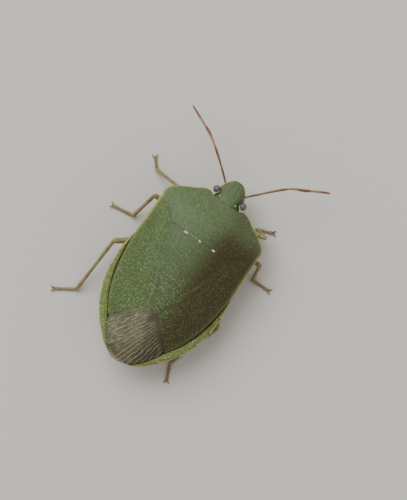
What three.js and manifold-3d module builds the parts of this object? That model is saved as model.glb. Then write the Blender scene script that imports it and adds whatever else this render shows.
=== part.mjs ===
// A green shield bug at life size, standing on its six feet with its wings folded.
// Millimetres, +Z up, the floor at Z = 0. The head points to -Y and the animal's left side is +X.
// Lengths along the body are "stations": 0 on the line between the eyes, growing towards the tail.
import * as THREE from "three";
import { mergeVertices } from "three/addons/utils/BufferGeometryUtils.js";
import Module from "manifold-3d";

const wasm = await Module();
wasm.setup();

// Driving sizes
const GAP = 0.12; // clear space between neighbouring pieces
const HEAD_TIP = -1.25; // station of the front of the head
const HEAD_REAR = 0.3; // station where the head meets the shield
const SHIELD_FRONT = 0.42; // station of the shield's front edge, behind the head
const SHIELD_REAR = 3.25; // station of the shield's straight rear edge
const SHOULDER_REAR = 2.16; // station where the shield's edge turns in behind the shoulder
const CORNER = 2.2; // half width of the triangle behind the shield, at its base
const SCUTELLUM_TIP = 8.9; // station of that triangle's rounded tip
const WING_INNER = [0.55, 8.6]; // inner rear corner of the leathery part of a forewing: half width, station
const WING_CORNER = [2.24, 10.5]; // its outer rear corner
const APEX_BOW = 0.07; // how far its rear edge bows out between them
const WING_TAIL = 12.75; // station of the rear edge of the folded wings
const THORAX_REAR = 4.35; // station where the chest meets the abdomen
const ABDOMEN_TAIL = 12.62; // station of the abdomen's rear end
const DOME_POWER = 2.2; // how squarely the back is domed from side to side
const EDGE_THICKNESS = 0.25; // thickness of shield and wings at their outer edge
const SHIELD_THICKNESS = 0.9; // thickness of the shield at the middle line
const WING_THICKNESS = 0.6; // thickness of wings and scutellum at the middle line
const MEMBRANE_THICKNESS = 0.46; // thickness of each wing membrane
const CONNEXIVUM_SEGMENTS = 7; // visible segments of the abdomen's rim
const SEGMENT_TOOTH = 0.06; // how far each segment's rear corner stands out

// Colours as in life
const COLOURS = {
  shield: { color: 0x6f8f4e, roughness: 0.45 },
  wing: { color: 0x66864a, roughness: 0.5 },
  membrane: { color: 0x8a8468, roughness: 0.4 },
  rim: { color: 0x8dab4f, roughness: 0.5 },
  belly: { color: 0x9cb562, roughness: 0.55 },
  eye: { color: 0x4a3a40, roughness: 0.25 },
  leg: { color: 0x8a9455, roughness: 0.5 },
  antenna: { color: 0x8a6a42, roughness: 0.5 },
};

// A smooth curve through [station, value] pairs that never swings past them.
function curve(...pairs) {
  const at = pairs.map((p) => p[0]);
  const value = pairs.map((p) => p[1]);
  const rise = at.slice(1).map((x, i) => (value[i + 1] - value[i]) / (x - at[i]));
  const slope = value.map((_, i) => {
    if (i === 0) return rise[0];
    if (i === value.length - 1) return rise[i - 1];
    const both = rise[i - 1] * rise[i];
    return both <= 0 ? 0 : (2 * both) / (rise[i - 1] + rise[i]);
  });
  return (x) => {
    const held = Math.min(Math.max(x, at[0]), at[at.length - 1]);
    const i = Math.min(
      at.findLastIndex((a) => a <= held),
      at.length - 2,
    );
    const h = at[i + 1] - at[i];
    const s = (held - at[i]) / h;
    const s2 = s * s;
    const s3 = s2 * s;
    return (
      (2 * s3 - 3 * s2 + 1) * value[i] +
      (s3 - 2 * s2 + s) * h * slope[i] +
      (3 * s2 - 2 * s3) * value[i + 1] +
      (s3 - s2) * h * slope[i + 1]
    );
  };
}

const mix = (a, b, share) => a + (b - a) * share;
const smooth = (x) => THREE.MathUtils.smoothstep(x, 0, 1);
const steps = (count, from = 0, to = 1) =>
  Array.from({ length: count + 1 }, (_, i) => mix(from, to, i / count));
const at = (x, station, z) => new THREE.Vector3(x, station, z);

// Outline of shield and folded wings, seen from above: half width at each station
const wingHalf = curve(
  [-0.2, 1.0], [0.2, 1.39], [0.66, 2.3], [1.14, 3.16], [1.5, 3.58], [1.95, 3.77], [3.4, 3.78],
  [5.0, 3.8], [5.7, 3.76], [7.74, 3.48], [9.3, 2.98], [10.5, 2.29], [11.9, 1.4], [12.5, 0.8],
  [WING_TAIL, 0.3],
);
// Outline of the abdomen, whose rim shows beside the wings
const abdomenHalf = curve(
  [4.4, 3.3], [5.1, 3.71], [5.7, 3.88], [6.65, 3.99], [8.15, 3.9], [9.7, 3.41],
  [10.4, 3.04], [11.1, 2.52], [11.7, 1.98], [12.1, 1.58], [12.45, 1.05], [ABDOMEN_TAIL, 0.5],
);
const thoraxHalf = curve([SHIELD_FRONT, 1.3], [1.2, 2.5], [2.0, 3.15], [3.0, 3.3], [THORAX_REAR, 3.3]);
// Heights along the body
const edgeHeight = curve(
  [0.2, 2.75], [1.0, 2.95], [1.95, 3.1], [5.0, 3.1], [7.0, 3.05], [9.0, 2.95], [10.5, 2.88], [12.7, 2.8],
);
const ridgeHeight = curve(
  [-0.2, 2.9], [0.4, 3.2], [1.5, 3.95], [2.5, 4.45], [3.3, 4.7], [4.5, 4.8],
  [6.0, 4.68], [7.5, 4.38], [9.0, 4.0], [10.5, 3.68], [12.0, 3.3], [12.75, 3.05],
);
const bellyHeight = curve(
  [0.4, 1.75], [1.2, 1.4], [2.4, 1.1], [4.0, 1.02], [6.0, 1.0], [8.0, 1.05], [10.0, 1.35],
  [11.5, 1.5], [ABDOMEN_TAIL, 1.95],
);

// Upper surface of the closed back
function back(x, station) {
  const across = Math.min(Math.abs(x) / wingHalf(station), 1);
  return mix(ridgeHeight(station), edgeHeight(station), across ** DOME_POWER);
}

// Thickness of the plates that cover the back
function plateThickness(x, station) {
  const across = Math.min(Math.abs(x) / wingHalf(station), 1);
  const middle = mix(SHIELD_THICKNESS, WING_THICKNESS, smooth((station - 3.0) / 0.4));
  return mix(middle, EDGE_THICKNESS, across ** 4);
}

const underPlates = (x, station) => back(x, station) - plateThickness(x, station);
const rimHeight = (station) => edgeHeight(station) - EDGE_THICKNESS - GAP;

// Geometry from points and triangles, turned to face outwards
function closed(points, triangles) {
  let volume = 0;
  for (const [a, b, c] of triangles) volume += points[a].dot(points[b].clone().cross(points[c]));
  const index = volume < 0 ? triangles.map(([a, b, c]) => [a, c, b]) : triangles;
  const geometry = new THREE.BufferGeometry().setFromPoints(points);
  geometry.setIndex(index.flat());
  return geometry;
}

// A closed body over rings of points of equal count, with a point at the middle of each end
function skin(rings) {
  const around = rings[0].length;
  const points = rings.flat();
  const triangles = [];
  const middleOf = (ring) => ring.reduce((sum, p) => sum.add(p), new THREE.Vector3()).divideScalar(around);
  const first = points.length;
  points.push(middleOf(rings[0]), middleOf(rings[rings.length - 1]));
  for (let j = 0; j < around; j++) {
    const next = (j + 1) % around;
    for (let i = 0; i < rings.length - 1; i++) {
      const a = i * around;
      triangles.push([a + j, a + next, a + around + next], [a + j, a + around + next, a + around + j]);
    }
    const last = (rings.length - 1) * around;
    triangles.push([first, next, j], [first + 1, last + j, last + next]);
  }
  return closed(points, triangles);
}

// A plate between an upper and a lower surface: rows of points from place(u, v), which gives [x, station]
function plate(across, along, place, upper, lower) {
  const points = [];
  const wide = across.length;
  const long = along.length;
  for (const height of [upper, lower])
    for (const v of along)
      for (const u of across) {
        const [x, station] = place(u, v);
        points.push(at(x, station, height(x, station, u, v)));
      }
  const triangles = [];
  const under = wide * long;
  const quad = (a, b, c, d) => triangles.push([a, b, c], [a, c, d]);
  for (let i = 0; i < long - 1; i++)
    for (let j = 0; j < wide - 1; j++) {
      const a = i * wide + j;
      quad(a, a + 1, a + wide + 1, a + wide);
      triangles.push([under + a, under + a + wide + 1, under + a + 1]);
      triangles.push([under + a, under + a + wide, under + a + wide + 1]);
    }
  const wall = (a, b) => quad(a, under + a, under + b, b);
  for (let j = 0; j < wide - 1; j++) {
    wall(j, j + 1);
    wall((long - 1) * wide + j + 1, (long - 1) * wide + j);
  }
  for (let i = 0; i < long - 1; i++) {
    wall((i + 1) * wide, i * wide);
    wall(i * wide + wide - 1, (i + 1) * wide + wide - 1);
  }
  return closed(points, triangles);
}

// Rings round a path, each of the radius that radiusAt gives for its share of the length.
// A ring never goes below the floor, which leaves a flat sole where the path lies low.
function tube(path, radiusAt, count, sides) {
  const frames = steps(count).map((share) => {
    const along = path.getTangentAt(share);
    const side = new THREE.Vector3(-along.y, along.x, 0).normalize();
    const up = along.clone().cross(side).multiplyScalar(-1);
    if (up.z < 0) up.negate();
    return { centre: path.getPointAt(share), side, up, radius: radiusAt(share) };
  });
  return skin(
    frames.map(({ centre, side, up, radius }) =>
      steps(sides - 1, 0, (2 * Math.PI * (sides - 1)) / sides).map((turn) => {
        const point = centre.clone();
        point.addScaledVector(side, radius * Math.cos(turn));
        point.addScaledVector(up, radius * Math.sin(turn));
        point.z = Math.max(point.z, 0);
        return point;
      }),
    ),
  );
}

// Joins and cuts
function solid(geometry) {
  const bare = geometry.clone();
  bare.deleteAttribute("normal");
  bare.deleteAttribute("uv");
  const merged = mergeVertices(bare, 1e-5);
  return new wasm.Manifold(
    new wasm.Mesh({
      numProp: 3,
      vertProperties: merged.attributes.position.array,
      triVerts: new Uint32Array(merged.index.array),
    }),
  );
}

function geometryOf(manifold) {
  const pieces = manifold.decompose();
  const largest = pieces.reduce((a, b) => (b.volume() > a.volume() ? b : a));
  const mesh = largest.getMesh();
  const geometry = new THREE.BufferGeometry();
  geometry.setAttribute("position", new THREE.BufferAttribute(mesh.vertProperties, 3));
  geometry.setIndex(new THREE.BufferAttribute(mesh.triVerts, 1));
  return geometry;
}

const join = (...geometries) => geometryOf(geometries.map(solid).reduce((a, b) => a.add(b)));
const cut = (geometry, ...others) =>
  geometryOf(others.map(solid).reduce((a, b) => a.subtract(b), solid(geometry)));

// Shield: the broad plate with a straight rear edge and rounded shoulders.
// Each edge is followed from the middle line, 0, to the shoulder, 1.
function shield() {
  const frontX = curve([0, 0], [0.36, 1.39], [0.6, 2.3], [0.82, 3.16], [0.94, 3.58], [1, 3.72]);
  const frontStation = curve(
    [0, SHIELD_FRONT], [0.22, SHIELD_FRONT - 0.03], [0.36, 0.24], [0.6, 0.66],
    [0.82, 1.14], [0.94, 1.48], [1, 1.78],
  );
  const rearX = curve([0, 0], [0.58, CORNER], [0.75, 2.75], [0.9, 3.35], [1, 3.7]);
  const rearStation = curve(
    [0, SHIELD_REAR], [0.5, 3.27], [0.6, 3.26], [0.75, 2.8], [0.9, 2.42], [1, SHOULDER_REAR],
  );
  const half = [0, 0.09, 0.18, 0.28, 0.36, 0.48, 0.6, 0.7, 0.8, 0.87, 0.93, 0.97, 1];
  const across = [...half.slice(1).map((a) => -a).reverse(), ...half];
  const place = (u, v) => {
    const a = Math.abs(u);
    const shoulder = 0.05 * Math.sin(Math.PI * v) * smooth((a - 0.9) / 0.1);
    return [
      Math.sign(u) * (mix(frontX(a), rearX(a), v) + shoulder),
      mix(frontStation(a), rearStation(a), v),
    ];
  };
  const swell = (x, station, u, v) => 0.06 * Math.sin(Math.PI * v) * (1 - u * u);
  return plate(
    across,
    steps(11),
    place,
    (x, station, u, v) => back(x, station) + swell(x, station, u, v),
    underPlates,
  );
}

// Scutellum: the long triangle between the wings
const scutellumHalf = curve(
  [SHIELD_REAR + GAP, CORNER], [4.2, 2.02], [5.1, 1.76], [6.1, 1.4], [6.9, 1.05], [7.5, 0.82],
  [8.1, 0.66], [8.5, 0.5], [8.78, 0.28], [SCUTELLUM_TIP, 0.1],
);

function scutellum() {
  const along = [0, 0.08, 0.17, 0.27, 0.37, 0.47, 0.57, 0.66, 0.74, 0.81, 0.87, 0.92, 0.96, 0.985, 1];
  const across = [-1, -0.9, -0.72, -0.48, -0.24, 0, 0.24, 0.48, 0.72, 0.9, 1];
  const place = (u, v) => {
    const station = mix(SHIELD_REAR + GAP, SCUTELLUM_TIP, v);
    return [u * scutellumHalf(station), station];
  };
  const raised = (u, v) => 0.12 * (1 - u ** 4) * (1 - v ** 6);
  return plate(across, along, place, (x, station, u, v) => back(x, station) + raised(u, v), underPlates);
}

// Leathery part of a forewing. side is 1 for the animal's left and -1 for its right.
// Its inner edge runs down the scutellum and its outer edge down the body, both from front, 0, to rear, 1.
function corium(side) {
  const innerStation = curve([0, SHIELD_REAR + 2 * GAP], [1, WING_INNER[1]]);
  const innerX = (v) => scutellumHalf(innerStation(v)) + GAP;
  const outerStation = curve([0, SHOULDER_REAR + GAP], [0.45, 5.4], [1, WING_CORNER[1]]);
  const outerX = (v) => wingHalf(outerStation(v)) - 0.02;
  const along = steps(16);
  const across = [0, 0.1, 0.22, 0.36, 0.5, 0.64, 0.78, 0.9, 1];
  const place = (u, v) => {
    const bow = Math.sin(Math.PI * u) * (APEX_BOW * v ** 4 - 0.05 * (1 - v) ** 4);
    return [side * mix(innerX(v), outerX(v), u), mix(innerStation(v), outerStation(v), u) + bow];
  };
  const vein = (u) => 0.05 * Math.exp(-(((u - 0.64) / 0.09) ** 2));
  return plate(across, along, place, (x, station, u) => back(x, station) + vein(u), underPlates);
}

// Wing membranes. The right one lies on top and reaches over to the left side.
// Their front edge follows the scutellum's tip and the rear edges of both leathery parts.
const tipEdge = curve([0, SCUTELLUM_TIP], [0.1, SCUTELLUM_TIP - 0.01], [0.28, 8.8], WING_INNER);
function chevron(x) {
  const out = Math.abs(x);
  if (out < WING_INNER[0]) return tipEdge(out);
  const share = Math.min((out - WING_INNER[0]) / (WING_CORNER[0] - WING_INNER[0]), 1);
  return mix(WING_INNER[1], WING_CORNER[1], share) + APEX_BOW * Math.sin(Math.PI * share);
}

// The station where the folded wings have narrowed to a half width
function tailAt(x) {
  let [front, rear] = [9.5, WING_TAIL];
  for (let i = 0; i < 30; i++) {
    const middle = (front + rear) / 2;
    if (wingHalf(middle) > Math.abs(x)) front = middle;
    else rear = middle;
  }
  return front;
}

function membraneRight() {
  const half = 2.1;
  const veins = 9;
  const across = steps(veins * 3);
  const along = [0, 0.1, 0.22, 0.36, 0.5, 0.64, 0.78, 0.9, 1];
  const place = (u, v) => {
    const spread = -half * Math.cos(Math.PI * mix(0.04, 0.96, u));
    const lean = 0.42 * Math.sin(Math.PI * u) * v;
    const x = spread + lean;
    return [x, mix(chevron(spread) + 1.5 * GAP, tailAt(x), v)];
  };
  const ridge = (u, v) => 0.07 * Math.max(0, Math.cos(2 * Math.PI * u * veins)) * smooth((v - 0.12) / 0.15);
  return plate(
    across,
    along,
    place,
    (x, station, u, v) => back(x, station) - 0.04 + ridge(u, v) * (1 - 0.5 * v),
    (x, station) => back(x, station) - Math.min(MEMBRANE_THICKNESS, plateThickness(x, station)),
  );
}

// The left membrane lies under the wings in a bed in the abdomen
const LEFT_THICKNESS = 0.36;
const MEMBRANE_BED = LEFT_THICKNESS + 0.16;
const BED_FRONT = 8.2; // station where that bed begins to sink
const BED_REAR = 12.4; // station where the bed has come up again

function membraneLeft() {
  const place = (u, v) => {
    const x = mix(-0.9, 1.75, u);
    const front = Math.max(chevron(x) - 0.12, 9.15);
    return [x, mix(front, Math.min(tailAt(Math.abs(x) + 0.42) - 0.05, BED_REAR - 0.4), v)];
  };
  return plate(
    steps(8),
    steps(7),
    place,
    (x, station) => underPlates(x, station) - GAP,
    (x, station) => underPlates(x, station) - GAP - LEFT_THICKNESS,
  );
}

// Cross-section of chest and abdomen: over the top from right to left, then under the belly and back.
// grow makes the same body larger all round, to keep its neighbours clear of it.
function section(station, half, top, lowest, power, grow) {
  const wide = half + grow;
  const share = [-1, -0.965, -0.9, -0.82, -0.68, -0.45, -0.2, 0, 0.2, 0.45, 0.68, 0.82, 0.9, 0.965, 1];
  const over = share.map((s) => at(s * wide, station, top(s * half) + grow));
  const side = top(half) - 0.14;
  const under = share
    .slice(1, -1)
    .reverse()
    .map((s) => {
      const fall = (1 - Math.abs(s) ** power) ** 0.85;
      return at(s * wide, station, mix(side, lowest, fall) - grow);
    });
  return [...over, ...under];
}

function thorax(grow = 0) {
  const stations = steps(11, SHIELD_FRONT, THORAX_REAR);
  stations[0] -= grow;
  stations[11] += grow;
  return skin(
    stations.map((station) => {
      const top = (x) => underPlates(x, station) - GAP;
      return section(station, thoraxHalf(station), top, bellyHeight(station), 1.5, grow);
    }),
  );
}

function abdomen(grow = 0) {
  const front = THORAX_REAR + GAP - grow;
  const rear = ABDOMEN_TAIL + grow;
  const length = (rear - front) / CONNEXIVUM_SEGMENTS;
  const rings = [];
  for (let i = 0; i < CONNEXIVUM_SEGMENTS; i++)
    for (const share of i === 0 ? [0, 0.06, 0.5, 0.97] : [0.03, 0.5, 0.97]) {
      const station = front + (i + share) * length;
      const tooth = SEGMENT_TOOTH * (share - 0.4);
      rings.push({ station, tooth });
    }
  rings.push({ station: rear, tooth: 0 });
  return skin(
    rings.map(({ station, tooth }) => {
      const wing = wingHalf(station);
      const bed = MEMBRANE_BED * smooth((station - BED_FRONT) / 0.4) * smooth((BED_REAR - station) / 0.35);
      const top = (x) => {
        const inside = smooth((wing - 0.02 - Math.abs(x)) / 0.3);
        const covered = Math.abs(x) < wing ? underPlates(x, station) - GAP : rimHeight(station);
        return covered - bed * inside;
      };
      const end = smooth((rear - station) / 0.5);
      const lowest = mix(rimHeight(station) - 0.45, bellyHeight(station), 0.4 + 0.6 * end) - tooth * 0.6;
      return section(station, abdomenHalf(station) + tooth, top, lowest, 1.8, grow);
    }),
  );
}

// Head: flat, round in front, with two grooves that mark off its middle lobe
const headHalf = curve(
  [HEAD_TIP, 0.12], [-1.2, 0.3], [-1.0, 0.55], [-0.65, 0.81], [-0.29, 0.91], [0, 0.9], [HEAD_REAR, 0.95],
);
const headTop = curve([HEAD_TIP, 2.3], [-1.0, 2.48], [-0.5, 2.78], [0, 3.0], [HEAD_REAR, 3.12]);
const headUnder = curve([HEAD_TIP, 2.1], [-1.0, 1.98], [-0.5, 1.85], [0, 1.72], [HEAD_REAR, 1.7]);

function head(grow = 0) {
  const stations = [HEAD_TIP, -1.21, -1.12, -0.98, -0.8, -0.6, -0.4, -0.2, 0, 0.15, HEAD_REAR];
  const share = [-1, -0.93, -0.78, -0.58, -0.4, -0.31, -0.22, 0, 0.22, 0.31, 0.4, 0.58, 0.78, 0.93, 1];
  return skin(
    stations.map((station, i) => {
      const wide = headHalf(station) + grow;
      const top = headTop(station);
      const brim = mix(headUnder(station), top, 0.45);
      const shift = i === 0 ? -grow : i === stations.length - 1 ? grow : 0;
      const over = share.map((s) => {
        const groove = Math.abs(Math.abs(s) - 0.31) < 0.02 && station < -0.15 ? 0.05 : 0;
        return at(s * wide, station + shift, mix(top, brim, Math.abs(s) ** 2.6) - groove + grow);
      });
      const under = share
        .slice(1, -1)
        .reverse()
        .map((s) => {
          const fall = (1 - Math.abs(s) ** 2) ** 0.6;
          return at(s * wide, station + shift, mix(brim - 0.06, headUnder(station), fall) - grow);
        });
      return [...over, ...under];
    }),
  );
}

// Eyes: round beads at the sides of the head
const EYE = { x: 1.04, station: -0.07, z: 2.62, radius: new THREE.Vector3(0.27, 0.29, 0.31) };

function eye(side, grow = 0) {
  const bead = new THREE.SphereGeometry(1, 14, 10);
  bead.scale(EYE.radius.x + grow, EYE.radius.y + grow, EYE.radius.z + grow);
  bead.translate(side * EYE.x, EYE.station, EYE.z);
  return bead;
}

// A rounded piece from one point to another: widths at equal steps along it
function limb(from, to, widths, sides = 8) {
  const path = new THREE.LineCurve3(from, to);
  const radius = curve(...widths.map((w, i) => [i / (widths.length - 1), w / 2]));
  return tube(path, radius, 2 * (widths.length - 1), sides);
}

// Legs: [half width, station, height] of hip, knee, ankle and toe in this pose
const FORE_HIP = [0.62, 1.35, 1.05];
const MID_HIP = [0.8, 2.55, 0.95];
const HIND_HIP = [0.95, 3.75, 0.9];
const POSE = {
  fore_left: { side: 1, hip: FORE_HIP, knee: [3.25, 1.22, 2.05], ankle: [4.98, 1.1, 0.3], toe: [5.5, 0.52] },
  fore_right: { side: -1, hip: FORE_HIP, knee: [3.38, 0.76, 2.05], ankle: [2.62, 0.6, 0.3], toe: [3.6, 0.2] },
  mid_left: { side: 1, hip: MID_HIP, knee: [4.1, 2.56, 2.2], ankle: [4.54, 4.45, 0.3], toe: [5.96, 4.64] },
  mid_right: { side: -1, hip: MID_HIP, knee: [4.08, 2.42, 2.3], ankle: [4.27, 3.5, 0.3], toe: [5.48, 3.46] },
  hind_left: { side: 1, hip: HIND_HIP, knee: [4.62, 6.5, 2.1], ankle: [4.86, 10.5, 0.3], toe: [6.08, 11.3] },
  hind_right: { side: -1, hip: HIND_HIP, knee: [4.14, 7.35, 2], ankle: [2.92, 11, 0.3], toe: [3.36, 12.05] },
};
const TARSUS_HEIGHT = 0.15; // height of a foot's middle line, low enough to press its sole flat
const CLAW_SPREAD = 0.16;

function leg({ side, hip, knee, ankle, toe }) {
  const [hipPoint, kneePoint, anklePoint] = [hip, knee, ankle].map(([x, s, z]) => at(side * x, s, z));
  const toePoint = at(side * toe[0], toe[1], TARSUS_HEIGHT);
  const coxa = limb(hipPoint.clone().add(at(-0.12 * side, 0, 0.35)), hipPoint, [0.75, 0.8, 0.55]);
  const femur = limb(hipPoint, kneePoint, [0.42, 0.56, 0.62, 0.56, 0.5, 0.36]);
  const tibia = limb(kneePoint, anklePoint, [0.4, 0.5, 0.5, 0.5, 0.46]);
  const foot = anklePoint.clone().setZ(TARSUS_HEIGHT);
  const tarsus = limb(foot, toePoint, [0.5, 0.58, 0.5, 0.55, 0.5, 0.56, 0.44]);
  const ahead = toePoint.clone().sub(foot).normalize();
  const aside = at(-ahead.y, ahead.x, 0);
  const claws = [-1, 1].map((way) => {
    const tip = toePoint.clone().addScaledVector(ahead, 0.26).addScaledVector(aside, way * CLAW_SPREAD);
    const root = toePoint.clone().addScaledVector(ahead, -0.12).addScaledVector(aside, way * 0.06);
    return limb(root, tip.setZ(0.12), [0.24, 0.22, 0.1], 6);
  });
  return join(coxa, femur, tibia, tarsus, ...claws);
}

// Antennae: five segments, each thickest near its end
const ANTENNA_JOINTS = [0, 0.1, 0.3, 0.53, 0.77, 1];

function antenna(points) {
  const path = new THREE.CatmullRomCurve3(points);
  const radius = (share) => {
    const i = Math.min(ANTENNA_JOINTS.findLastIndex((j) => j <= share + 1e-6), 4);
    const within = (share - ANTENNA_JOINTS[i]) / (ANTENNA_JOINTS[i + 1] - ANTENNA_JOINTS[i]);
    const tip = 1 - 0.65 * smooth((share - 0.9) / 0.1);
    return (0.25 - 0.045 * Math.cos(2 * Math.PI * within) ** 3) * tip;
  };
  return tube(path, radius, 30, 8);
}

const ANTENNA_LEFT = [
  [0.55, -0.42, 2.1], [0.95, -0.86, 2.3], [1.75, -1.53, 2.75], [2.48, -2.1, 2.95],
  [3.37, -2.72, 2.8], [4.21, -3.12, 2.45], [5.42, -3.66, 1.9],
];
const ANTENNA_RIGHT = [
  [-0.55, -0.42, 2.1], [-0.95, -0.82, 2.3], [-1.46, -1.35, 2.65], [-2.2, -2.12, 2.95],
  [-2.95, -2.79, 2.9], [-3.67, -3.17, 2.7], [-4.55, -3.68, 2.35], [-5.22, -4.02, 2.0],
];

// Beak: folded back under the head and chest
function beak() {
  const path = new THREE.CatmullRomCurve3([
    at(0, -0.92, 1.86), at(0, -0.7, 1.55), at(0, -0.1, 1.35), at(0, 0.8, 1.15),
    at(0, 2.0, 0.75), at(0, 3.3, 0.68),
  ]);
  const radius = (share) => mix(0.27, 0.25, share) * (1 - 0.5 * smooth((share - 0.88) / 0.12));
  return tube(path, radius, 16, 8);
}

// The animal, piece by piece
const bug = new THREE.Group();
bug.name = "shield_bug";

function add(name, geometry, look) {
  const mesh = new THREE.Mesh(geometry, new THREE.MeshStandardMaterial({ metalness: 0, ...look }));
  mesh.name = name;
  bug.add(mesh);
}

add("pronotum", shield(), COLOURS.shield);
add("scutellum", scutellum(), COLOURS.shield);
add("corium_left", corium(1), COLOURS.wing);
add("corium_right", corium(-1), COLOURS.wing);
add("membrane_right", membraneRight(), COLOURS.membrane);
add("membrane_left", membraneLeft(), COLOURS.membrane);
add("thorax", thorax(), COLOURS.belly);
add("abdomen", abdomen(), COLOURS.rim);
add("head", cut(head(), eye(1, GAP), eye(-1, GAP)), COLOURS.shield);
add("eye_left", eye(1), COLOURS.eye);
add("eye_right", eye(-1), COLOURS.eye);
const clearOfBody = [thorax(GAP), abdomen(GAP)];
const clearOfHead = head(GAP);
for (const [name, pose] of Object.entries(POSE))
  add(`leg_${name}`, cut(leg(pose), ...clearOfBody), COLOURS.leg);
for (const [name, points] of [["left", ANTENNA_LEFT], ["right", ANTENNA_RIGHT]])
  add(`antenna_${name}`, cut(antenna(points.map((p) => at(...p))), clearOfHead), COLOURS.antenna);
add("rostrum", cut(beak(), clearOfHead, clearOfBody[0]), COLOURS.leg);

// The origin is on the floor, under the middle of the animal's box
const box = new THREE.Box3().setFromObject(bug, true);
const middle = box.getCenter(new THREE.Vector3());
bug.position.set(-middle.x, -middle.y, 0);

export default bug;
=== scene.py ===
"""A green shield bug at life size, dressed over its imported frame.

Shapes are worked out in millimetres from the animal's own plan, in which a "station" is a distance
along the body: 0 on the line between the eyes, growing towards the tail. BodyPlan.point turns such
a place into the frame's metres.
"""
import bisect
import logging
import math
import random
from dataclasses import dataclass
from enum import Enum
from functools import lru_cache
from typing import Callable, Sequence

import bmesh
import bpy
from mathutils import Matrix, Vector, noise


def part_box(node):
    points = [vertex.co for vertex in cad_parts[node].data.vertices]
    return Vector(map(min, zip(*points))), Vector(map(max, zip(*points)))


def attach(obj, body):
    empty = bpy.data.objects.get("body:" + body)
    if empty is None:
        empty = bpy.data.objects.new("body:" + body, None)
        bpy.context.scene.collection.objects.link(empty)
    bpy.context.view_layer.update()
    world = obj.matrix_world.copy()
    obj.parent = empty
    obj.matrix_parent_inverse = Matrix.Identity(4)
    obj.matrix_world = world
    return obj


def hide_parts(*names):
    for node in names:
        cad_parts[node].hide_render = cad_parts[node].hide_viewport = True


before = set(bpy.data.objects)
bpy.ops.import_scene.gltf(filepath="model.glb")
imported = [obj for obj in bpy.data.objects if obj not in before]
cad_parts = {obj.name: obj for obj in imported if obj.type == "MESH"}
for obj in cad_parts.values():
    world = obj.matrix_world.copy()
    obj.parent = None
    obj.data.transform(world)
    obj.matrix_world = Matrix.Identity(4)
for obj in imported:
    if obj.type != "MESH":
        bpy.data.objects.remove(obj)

LOG = logging.getLogger("shield_bug")
MM = 0.001
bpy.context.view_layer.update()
SHARP_ANGLE = 50.0

HEAD_TIP = -1.25
HEAD_REAR = 0.42
SHIELD_FRONT = 0.42
SHIELD_REAR = 3.3
SHOULDER_REAR = 2.2
TUCK = 0.08
SCUTELLUM_BASE = SHIELD_REAR - TUCK
SCUTELLUM_CORNER = 2.2
SCUTELLUM_TIP = 8.94
WING_INNER_CORNER = (0.55, 8.6)
WING_CORNER = (2.22, 10.6)
TAIL_LEAN = 0.25
WING_TAIL = 12.75
THORAX_REAR = 4.4
ABDOMEN_TAIL = 12.62
DOME_POWER = 2.2
EDGE_THICKNESS = 0.2


class Side(Enum):
    """The animal's two sides, as the sign of X."""

    LEFT = 1
    RIGHT = -1

    @property
    def word(self) -> str:
        """The side's name as the nodes spell it."""
        return self.name.lower()


class Curve:
    """A smooth curve through (place, value) pairs that never swings past them."""

    def __init__(self, *pairs: tuple[float, float]) -> None:
        """Work out the slopes.

        Args:
            pairs: places in rising order, each with its value.
        """
        self.at = [place for place, _ in pairs]
        self.value = [value for _, value in pairs]
        rise = [
            (self.value[i + 1] - self.value[i]) / (self.at[i + 1] - self.at[i])
            for i in range(len(pairs) - 1)
        ]
        inner = [
            2 * a * b / (a + b) if a * b > 0 else 0.0
            for a, b in zip(rise, rise[1:])
        ]
        self.slope = [rise[0], *inner, rise[-1]]

    def __call__(self, place: float) -> float:
        """Give the value at a place, held at the ends.

        Args:
            place: where to read the curve.

        Returns:
            The value there.
        """
        held = min(max(place, self.at[0]), self.at[-1])
        i = min(bisect.bisect_right(self.at, held) - 1, len(self.at) - 2)
        h = self.at[i + 1] - self.at[i]
        s = (held - self.at[i]) / h
        return (
            (2 * s**3 - 3 * s**2 + 1) * self.value[i]
            + (s**3 - 2 * s**2 + s) * h * self.slope[i]
            + (3 * s**2 - 2 * s**3) * self.value[i + 1]
            + (s**3 - s**2) * h * self.slope[i + 1]
        )


def mix(a: float, b: float, share: float) -> float:
    """Go from a to b by a share."""
    return a + (b - a) * share


def smooth(x: float) -> float:
    """Rise from 0 at 0 to 1 at 1, level at both ends."""
    held = min(max(x, 0.0), 1.0)
    return held * held * (3 - 2 * held)


def hump(x: float, width: float) -> float:
    """Give a rounded hump, 1 at 0, that has faded at a width either way."""
    return math.exp(-((2 * x / width) ** 2))


WING_HALF = Curve(
    (-0.2, 1.0), (0.2, 1.39), (0.66, 2.3), (1.14, 3.16), (1.5, 3.58), (1.95, 3.77), (3.4, 3.78),
    (5.0, 3.8), (5.7, 3.76), (7.74, 3.48), (9.3, 2.98), (10.5, 2.29), (11.9, 1.4), (12.5, 0.8),
    (WING_TAIL, 0.3),
)
ABDOMEN_HALF = Curve(
    (4.4, 3.3), (5.1, 3.71), (5.7, 3.88), (6.65, 3.99), (8.15, 3.9), (9.7, 3.42), (10.4, 3.05),
    (11.1, 2.54), (11.7, 1.99), (12.1, 1.58), (12.45, 1.05), (ABDOMEN_TAIL, 0.5),
)
THORAX_HALF = Curve((SHIELD_FRONT, 1.3), (1.2, 2.5), (2.0, 3.15), (3.0, 3.3), (THORAX_REAR, 3.3))
EDGE_HEIGHT = Curve(
    (0.2, 2.75), (1.0, 2.95), (1.95, 3.1), (5.0, 3.1), (7.0, 3.05), (9.0, 2.95), (10.5, 2.88),
    (12.7, 2.8),
)
RIDGE_HEIGHT = Curve(
    (-0.2, 2.9), (0.4, 3.2), (1.5, 3.95), (2.5, 4.45), (3.3, 4.7), (4.5, 4.8), (6.0, 4.68),
    (7.5, 4.38), (9.0, 4.0), (10.5, 3.68), (12.0, 3.3), (WING_TAIL, 3.05),
)
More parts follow.
